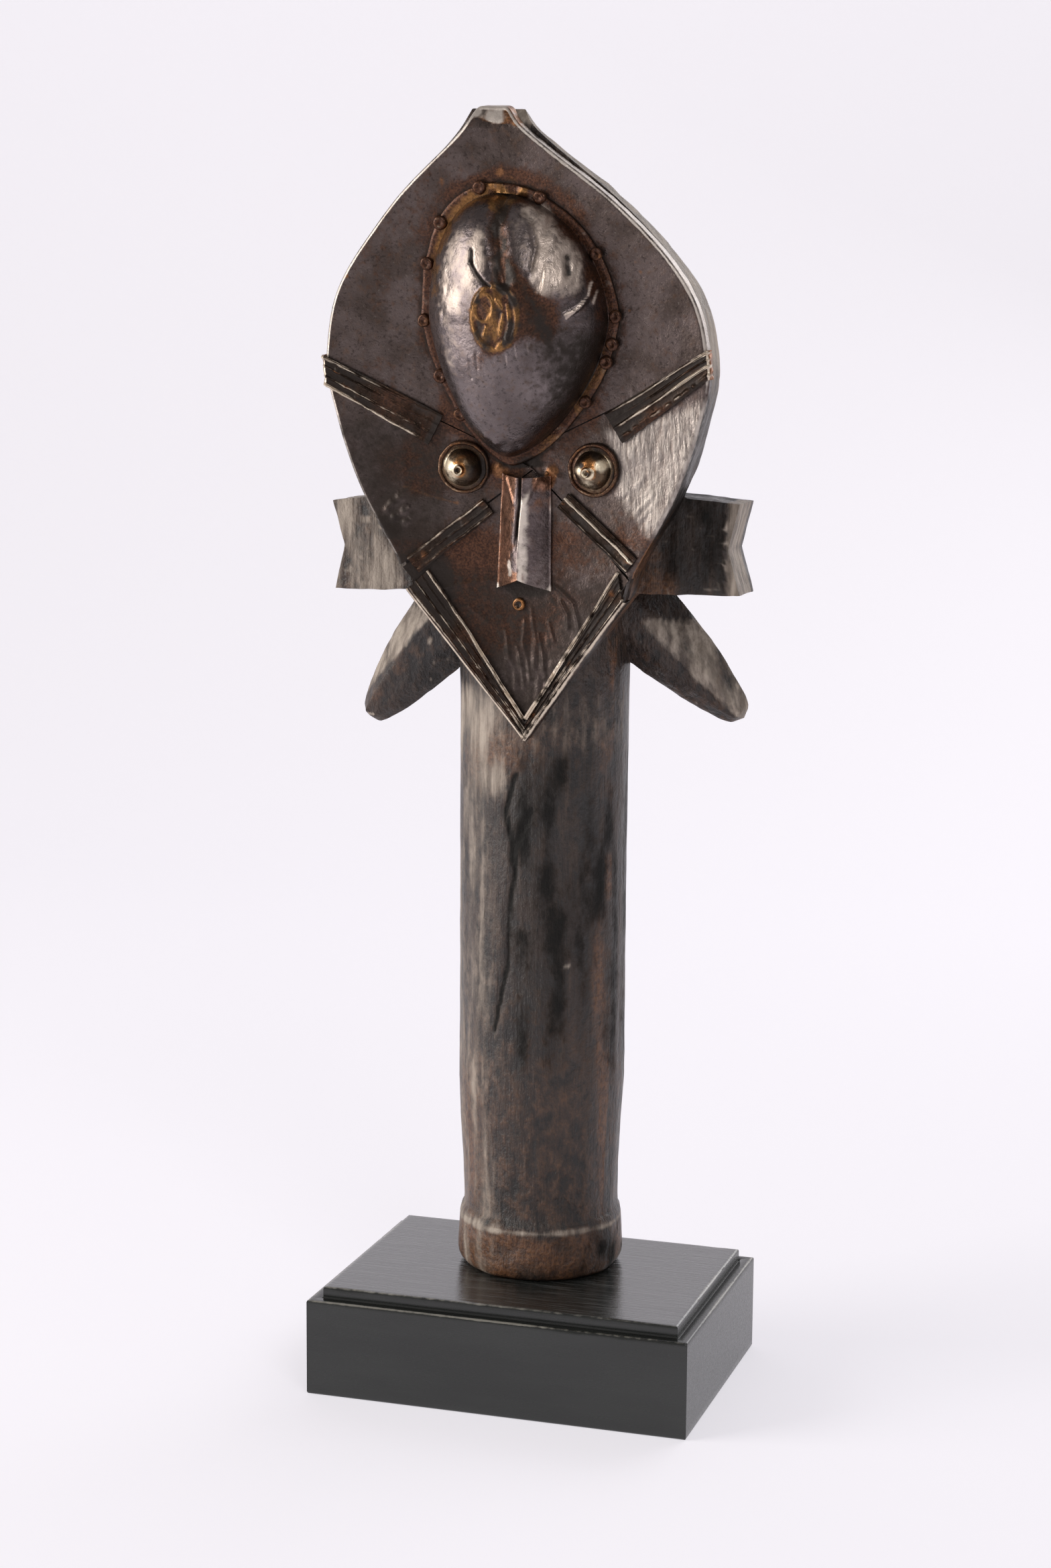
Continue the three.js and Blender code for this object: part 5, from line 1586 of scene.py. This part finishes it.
def face_slab():
    """The slab that the sheets are folded round."""
    front = SHEET_STACK + 0.6
    back = RIM_FOLD + SHEET_STACK + EDGE_GAP
    return head_slab(
        (24, 3, 70), FACE_SLAB_SHARE * HEAD_HEIGHT, lambda z: HEAD_SIDE_INSET + 0.3,
        lambda x, z, s: face_y(x, z) + front, lambda x, z, s: face_y(x, z) + back,
    )


def back_slab():
    def back(x, z, s):
        share = z / HEAD_HEIGHT
        thickness = lerp(HEAD_JAW_THICKNESS, HEAD_TIP_THICKNESS, share ** 2)
        edge = HEAD_BACK_ROUNDING * smoothstep(0.93, 1.0, np.abs(s)) ** 2
        return thickness + HEAD_BACK_BULGE * np.sin(np.pi * share) * (1 - s * s) - edge

    return head_slab(
        (64, 12, 130), HEAD_HEIGHT - SHEET_STACK,
        lambda z: HEAD_SIDE_INSET - EDGE_GAP - HEAD_TIP_FLARE * (z / HEAD_HEIGHT) ** 8,
        lambda x, z, s: face_y(x, z) + RIM_FOLD + SHEET_STACK, back,
    )


def lobe_bar():
    cube, faces = box_grid(fine(116, 16, 30))
    along, depth, up = cube.T
    half = LOBE_END_HEIGHT / 2 + np.where(up > 0, LOBE_TOP_FALL * (1 - np.abs(along)), 0)
    x = along * (LOBE_REACH - LOBE_NOTCH * (1 - np.abs(up)))
    points = np.stack([x, LOBE_THICKNESS * (depth + 1) / 2, up * half], -1)
    place = np.array(HEAD_PLACE) + (0, LOBE_SETBACK, LOBE_SHARE * HEAD_HEIGHT)
    return rolled(points, LOBE_ROLL, place), faces


def horn(sign):
    root = np.array([sign * NECK_RADIUS * HORN_ROOT_SHARE, NECK_Y, 0])
    tip = np.array([sign * HORN_SPREAD, NECK_Y + HORN_SETBACK, -HORN_DROP])
    along = tip - root
    outside = np.array([-sign * along[2], 0, sign * along[0]])
    outside /= np.linalg.norm(outside)
    corners = np.array(HORN_SECTION + HORN_SECTION[:1], float)
    side_shares = np.linspace(0, 1, 8)[:-1]
    section = np.concatenate([line(a, b, side_shares) for a, b in zip(corners[:-1], corners[1:])])
    # Rings lie closer together towards the tip, and the horn keeps its breadth for most of its length
    share = 1 - (1 - np.linspace(0, 1, int(HORN_RINGS * FINE) + 8)[:, None]) ** 1.3
    swell = (1 - share ** 2.2) ** 0.8
    width = lerp(HORN_TIP_WIDTH, HORN_ROOT_WIDTH, swell) / 2
    thickness = lerp(HORN_TIP_THICKNESS, HORN_ROOT_THICKNESS, swell) / 2
    rings = root + along * share[..., None] + outside * (width * section[:, 0])[..., None]
    rings[..., 1] += thickness * section[:, 1]
    end = tip + along / np.linalg.norm(along) * HORN_TIP_WIDTH / 3
    points, faces = ring_solid(rings, root.astype(float), end)
    return rolled(points, HORN_ROLL, (HORN_X, 0, HORN_ROOT_HEIGHT)), faces


def carving(name, points, faces):
    mesh = bpy.data.meshes.new(name)
    mesh.from_pydata((points * MM).tolist(), [], faces.tolist())
    block = bpy.data.objects.new(name, mesh)
    bpy.context.scene.collection.objects.link(block)
    return block


def united(parts):
    """One closed mesh from overlapping ones, its edges a little softened and its points in millimetres."""
    blocks = [carving(f"carving_{i}", *part) for i, part in enumerate(parts)]
    for block in blocks[1:]:
        union = blocks[0].modifiers.new("union", "BOOLEAN")
        union.operation = "UNION"
        union.solver = "MANIFOLD"
        union.object = block
    soften = blocks[0].modifiers.new("soften", "SMOOTH")
    soften.factor = 0.5
    soften.iterations = 2
    mesh = bpy.data.meshes.new_from_object(blocks[0].evaluated_get(bpy.context.evaluated_depsgraph_get()))
    for block in blocks:
        bpy.data.objects.remove(block)
    points = np.zeros(len(mesh.vertices) * 3)
    normals = np.zeros(len(mesh.vertices) * 3)
    mesh.vertices.foreach_get("co", points)
    mesh.vertex_normals.foreach_get("vector", normals)
    faces = [polygon.vertices[:] for polygon in mesh.polygons]
    bpy.data.meshes.remove(mesh)
    return points.reshape(-1, 3) / MM, normals.reshape(-1, 3), faces


def carved_wood():
    """The figure's wood: neck, head block, lobes and horns in one, cut over with adze marks."""
    points, normals, faces = united([neck_wood(), face_slab(), back_slab(), lobe_bar(), horn(-1), horn(1)])
    head = world_to_head(points * MM)
    on_neck = smoothstep(34, 31, np.hypot(points[:, 0] - NECK_X, points[:, 1] - NECK_Y))
    across, back, up = head.T
    depth = back - face_y(across, up)
    clad = smoothstep(7.5, 6, depth) * smoothstep(-40, -30, -np.abs(depth)) * (up > 0)
    cuts = 0.5 * np.abs(noise(points, (9, 9, 30), 201)) + 0.2 * noise(points, 5, 203)
    cuts += 0.12 * rough(points, 2.5, 207)
    arc, height = neck_arc(points)
    split = on_neck * (stroke(arc, height, NECK_SPLIT, 0.9) + 0.8 * stroke(arc, height, NECK_BRANCH, 0.7))
    out = -cuts * (1 - 0.7 * on_neck) * (1 - clad) - 0.9 * split
    points = points + normals * out[:, None]
    paint = wood_paint(points, head, split)
    new_piece("carved_figure", points * MM, faces, "figure_wood", "carved_figure", paint)


def wood_parts(points):
    """How far points are on the neck, on the lobes and on the horns, from 0 to 1 each."""
    x, y = points.T[:2]
    height = points[:, 2] - BASE_HEIGHT
    neck = smoothstep(36, 31, np.hypot(x - NECK_X, y - NECK_Y)) * smoothstep(212, 200, height)
    lobes = smoothstep(36, 50, np.abs(x)) * (height > 228) * (height < 276) * (1 - neck)
    return neck, lobes, (np.abs(x) > 32) * (height < 230)


def wood_warm(points, head, neck, lobes, horns):
    """Brown tone of the foot, of the jaw's right side and of parts of the neck and horns, and of the left
    lobe as part of its painted light.
    """
    x, y = points.T[:2]
    across, back, up = head.T
    arc, height = neck_arc(points)
    foot = smoothstep(20, 16, height)
    jaw = smoothstep(20, 30, across) * smoothstep(5, 8, back) * smoothstep(105, 85, up)
    jaw = jaw * smoothstep(54, 46, x) * (y < 2)
    warm = foot * (0.55 * (0.7 + noise(points, (8, 8, 5), 211)) + 0.6 * blob(arc, height, (-26, 10), 9, 6))
    warm += 0.8 * jaw * (0.7 + 0.8 * noise(points, (5, 5, 8), 223)) + 0.3 * neck * smoothstep(150, 60, height)
    warm += 0.5 * neck * blob(arc, height, (-12, 183), 14) + 0.4 * neck * blob(arc, height, (-24, 45), 9, 32)
    warm += 0.35 * neck * blob(arc, height, (0, 190), 26, 12)
    # The left lobe is warmer as part of its painted light
    return warm + 0.3 * lobes * (x < 0) + 0.3 * horns * smoothstep(0, 0.5, noise(points, 9, 225))


def wood_pale(points, head, neck, lobes, horns, streaky):
    """Pale spots, chips and specks on the wood, and painted light: a highlight down the neck's left side and
    along the foot ring's top edge, and lit faces on the left lobe, the right lobe's end, the horns' outer
    facets and the head's right side behind the rim.
    """
    x, y = points.T[:2]
    across, back, up = head.T
    arc, height = neck_arc(points)
    share = (across - centre_line(up)) / half_width(up)
    behind_rim = smoothstep(100, 145, up) * smoothstep(5.5, 8, back) * smoothstep(0.7, 0.95, share)
    left_side = smoothstep(-1, -16, arc) * smoothstep(-82, -48, arc)
    out = 0.72 * (np.abs(x - HORN_X) - HORN_ROOT_SHARE * NECK_RADIUS) + 0.695 * (height - HORN_ROOT_HEIGHT)
    pale = 0.75 * blob(arc, height, (-9, 176), 5, 6) + 0.9 * blob(arc, height, (17, 112), 1.2, 0.8)
    # Painted highlight down the neck's left side
    pale += 0.46 * left_side * (0.8 + 0.5 * streaky)
    pale += 0.25 * smoothstep(176, 194, height) * smoothstep(-60, -30, -np.abs(arc))
    # Painted highlight along the foot ring's top edge
    pale += bell((height - 17.9) / 0.8) * (0.75 + 0.4 * noise(points, 6, 227))
    # Painted light on the head's right side behind the rim and on the left lobe
    pale = pale * neck + 1.2 * behind_rim * (1 - neck) + 0.72 * lobes * (x < 0) * (0.85 + 0.7 * streaky)
    # Painted light on the right lobe's end
    pale += 0.75 * lobes * smoothstep(65.5, 67.5, x) * (y < 8)
    # Painted light on the horns' outer facets, stronger on the left horn
    pale += horns * smoothstep(1, 4, out) * np.where(x < 0, 1.25, 0.8) * (0.8 + 0.6 * streaky)
    return pale + 0.75 * smoothstep(0.62, 0.8, noise(points, 2.2, 219)) * (horns + 0.6 * lobes)


def wood_grime_and_shade(points, split, neck, lobes, streaky):
    """Dark crust in the neck's split, darker along the groove above the foot ring and where the neck meets
    the base, and painted shade on the neck's right side and foot and on the right lobe's front.
    """
    x, y = points.T[:2]
    arc, height = neck_arc(points)
    rounding = smoothstep(88, 60, arc)
    # The neck's right side, turned from the light, gets painted shade
    right_side = smoothstep(-7, 2, arc) * smoothstep(30, 100, height) * smoothstep(194, 180, height)
    foot = smoothstep(20, 16, height) * smoothstep(-8, 18, arc)
    grime = 0.95 * split + 0.62 * neck * right_side * rounding * (0.85 + 0.7 * streaky)
    # Painted shadow on the right lobe's front; darker where the neck meets the base
    grime += 0.6 * lobes * (x > 0) * (x < 66) * smoothstep(16, 10, y) + 0.3 * smoothstep(3, 0, height)
    grime += 0.5 * bell((height - 19.6) / 0.7) * neck
    # Painted shade on the right of the foot ring
    grime += 0.5 * foot * rounding * (0.8 + noise(points, 6, 229))
    return grime * (0.85 + 0.5 * noise(points, (6, 6, 12), 221))


def wood_paint(points, head, split):
    parts = wood_parts(points)
    streaky = noise(points, (4, 4, 20), 217)
    return {
        "warm": wood_warm(points, head, *parts),
        "pale": wood_pale(points, head, *parts, streaky),
        "grime": wood_grime_and_shade(points, split, *parts[:2], streaky),
    }


def display_base():
    """The stepped block, as loops of one outline, with small dents and wear on its edges."""
    step, block, top = BASE_STEP_INSET, BASE_BLOCK_HEIGHT, BASE_HEIGHT
    # Each level is an inset from the block's sides, a height and how worn its edge is
    levels = [
        (1.0, 0, 0), (0.3, 0.2, 0.3), (0, 0.8, 0), (0, 3, 0), (0, block - 2, 0), (0, block - 0.7, 0),
        (0.2, block - 0.2, 0.9), (0.8, block, 0.9), (1.8, block, 0), (step - 0.7, block, 0),
        (step - 0.2, block - 0.5, 0), (step, block - 0.3, 0), (step, block + 0.6, 0), (step, top - 0.8, 0),
        (step + 0.2, top - 0.2, 0.75), (step + 0.8, top, 0.75), (step + 2, top, 0), (step + 6, top, 0),
    ]
    side = np.linspace(-1, 1, int(BASE_SIDE_POINTS * FINE) + 2)[:-1]
    square = np.concatenate([np.stack([side, -1 + 0 * side], -1), np.stack([1 + 0 * side, side], -1)])
    square = np.concatenate([square, -square])
    inset, height, wear = np.array(levels, float).T[:, :, None]
    x = square[:, 0] * (BASE_WIDTH / 2 - inset)
    y = square[:, 1] * (BASE_DEPTH / 2 - inset)
    rings = np.stack([x, y, height + 0 * x], -1)
    dents = 0.25 * np.minimum(noise(rings, (5, 5, 3), 401) + 0.35, 0) * wear
    rings[..., :2] *= 1 + dents[..., None] / BASE_MEAN_HALF_SIZE
    rings[..., 2] += dents
    points, faces = ring_solid(rings, np.array([0.0, 0, 0]), np.array([0.0, 0, top]))
    pale = wear * (0.72 + 0.5 * noise(rings, (26, 26, 30), 403))
    paint = {
        "pale": np.concatenate([[0], pale.ravel(), [0]]),
        "top": np.concatenate([[0], np.repeat(inset[:, 0] > step + 0.5, len(square)), [1]]),
    }
    new_piece("display_base_wood", points * MM, faces, "base_wood", "display_base", paint)


# Stage, lights and camera

BACKDROP_COLOUR = (0.5, 0.485, 0.515)
BACKDROP_TINT = (0.97, 0.95, 1.0)
BACKDROP_GLOW = 0.53
WALL_GLOW = 0.95
STUDIO_TINT = (1.0, 0.955, 0.95)
STUDIO_GLOW = 0.29

# The photograph's viewpoint, solved from the base's corners
CAMERA_PLACE = (0.2966, -0.9567, 0.3730)
CAMERA_TURN = math.radians(-17.5)
CAMERA_TILT = math.radians(-9.26)
CAMERA_ROLL = math.radians(0.43)
CAMERA_LENS = 68.06
CAMERA_SENSOR = 36


def backdrop():
    """A floor that curves up behind into a wall, and glows a little so that it stays pale."""
    half, front, back, radius, height = 3.0, -2.5, 1.6, 0.8, 3.2
    profile = [(front, 0.0), (back - radius, 0.0)]
    for a in np.linspace(0.1, math.pi / 2, 14):
        profile.append((back - radius + radius * math.sin(a), radius - radius * math.cos(a)))
    profile.append((back, height))
    points = [(x, y, z) for y, z in profile for x in (-half, half)]
    faces = [(2 * i, 2 * i + 1, 2 * i + 3, 2 * i + 2) for i in range(len(profile) - 1)]
    mesh = bpy.data.meshes.new("backdrop")
    mesh.from_pydata(points, [], faces)
    mesh.shade_smooth()
    recipe = Recipe("backdrop")
    recipe.set(
        Base_Color=BACKDROP_COLOUR, Roughness=0.8, Specular_IOR_Level=0.0,
        Emission_Color=BACKDROP_TINT, Emission_Strength=BACKDROP_GLOW,
    )
    mesh.materials.append(recipe.material)
    stage = bpy.data.objects.new("backdrop", mesh)
    bpy.context.scene.collection.objects.link(stage)


def area_light(name, place, target, size, radiance, colour=(1, 1, 1)):
    """A softbox, as bright as its radiance wherever it is seen reflected."""
    light = bpy.data.lights.new(name, "AREA")
    light.shape = "RECTANGLE"
    light.size, light.size_y = size
    light.energy = radiance * math.pi * size[0] * size[1]
    light.color = colour
    lamp = bpy.data.objects.new(name, light)
    lamp.location = place
    lamp.rotation_euler = (Vector(target) - Vector(place)).to_track_quat("-Z", "Y").to_euler()
    lamp.visible_camera = False
    bpy.context.scene.collection.objects.link(lamp)


def studio_world():
    """Pale where it is seen, but dim in its light, so that the softboxes give the contrast."""
    world = bpy.data.worlds.new("studio")
    world.use_nodes = True
    tree = world.node_tree
    dim = tree.nodes["Background"]
    dim.inputs["Color"].default_value = (*STUDIO_TINT, 1)
    dim.inputs["Strength"].default_value = STUDIO_GLOW
    pale = node(tree, "ShaderNodeBackground", Color=(*BACKDROP_TINT, 1), Strength=WALL_GLOW)
    seen = node(tree, "ShaderNodeLightPath").outputs["Is Camera Ray"]
    blend = node(tree, "ShaderNodeMixShader")
    for source, socket in zip((seen, dim.outputs[0], pale.outputs[0]), blend.inputs):
        tree.links.new(source, socket)
    tree.links.new(blend.outputs[0], tree.nodes["World Output"].inputs["Surface"])
    bpy.context.scene.world = world


def lights():
    middle = (0, 0, 0.27)
    area_light("key", (-1.46, -0.88, 0.55), middle, (1.1, 1.6), 5.4, (1, 0.97, 0.93))
    area_light("top", (0.8, -1.15, 1.15), middle, (0.6, 0.6), 5)
    area_light("rim", (0.45, 1.1, 0.85), (0, 0, 0.4), (0.9, 0.8), 2.0)
    bpy.context.scene.view_settings.view_transform = "Standard"


def camera():
    turn, tilt, roll = CAMERA_TURN, CAMERA_TILT, CAMERA_ROLL
    ahead = Vector((math.sin(turn) * math.cos(tilt), math.cos(turn) * math.cos(tilt), math.sin(tilt)))
    level = Vector((math.cos(turn), -math.sin(turn), 0))
    above = level.cross(ahead)
    right = level * math.cos(roll) + above * math.sin(roll)
    up = above * math.cos(roll) - level * math.sin(roll)
    data = bpy.data.cameras.new("camera")
    data.sensor_fit = "VERTICAL"
    data.sensor_height = CAMERA_SENSOR
    data.lens = CAMERA_LENS
    eye_point = bpy.data.objects.new("camera", data)
    matrix = Matrix((right, up, -ahead)).transposed().to_4x4()
    matrix.translation = CAMERA_PLACE
    eye_point.matrix_world = matrix
    bpy.context.scene.collection.objects.link(eye_point)
    bpy.context.scene.camera = eye_point


camera()
studio_world()
lights()
backdrop()
display_base()
carved_wood()
crown_plate()
chin_plate()
forehead_cap()
nose_strip()
mouth_tack()
tacks()
for side_name, side_facts in SIDES.items():
    cheek_plate(side_name, side_facts)
    brow_strip(side_name, side_facts)
    cheek_strip(side_name, side_facts)
    chin_strip(side_name, side_facts)
    eye(side_name, side_facts)
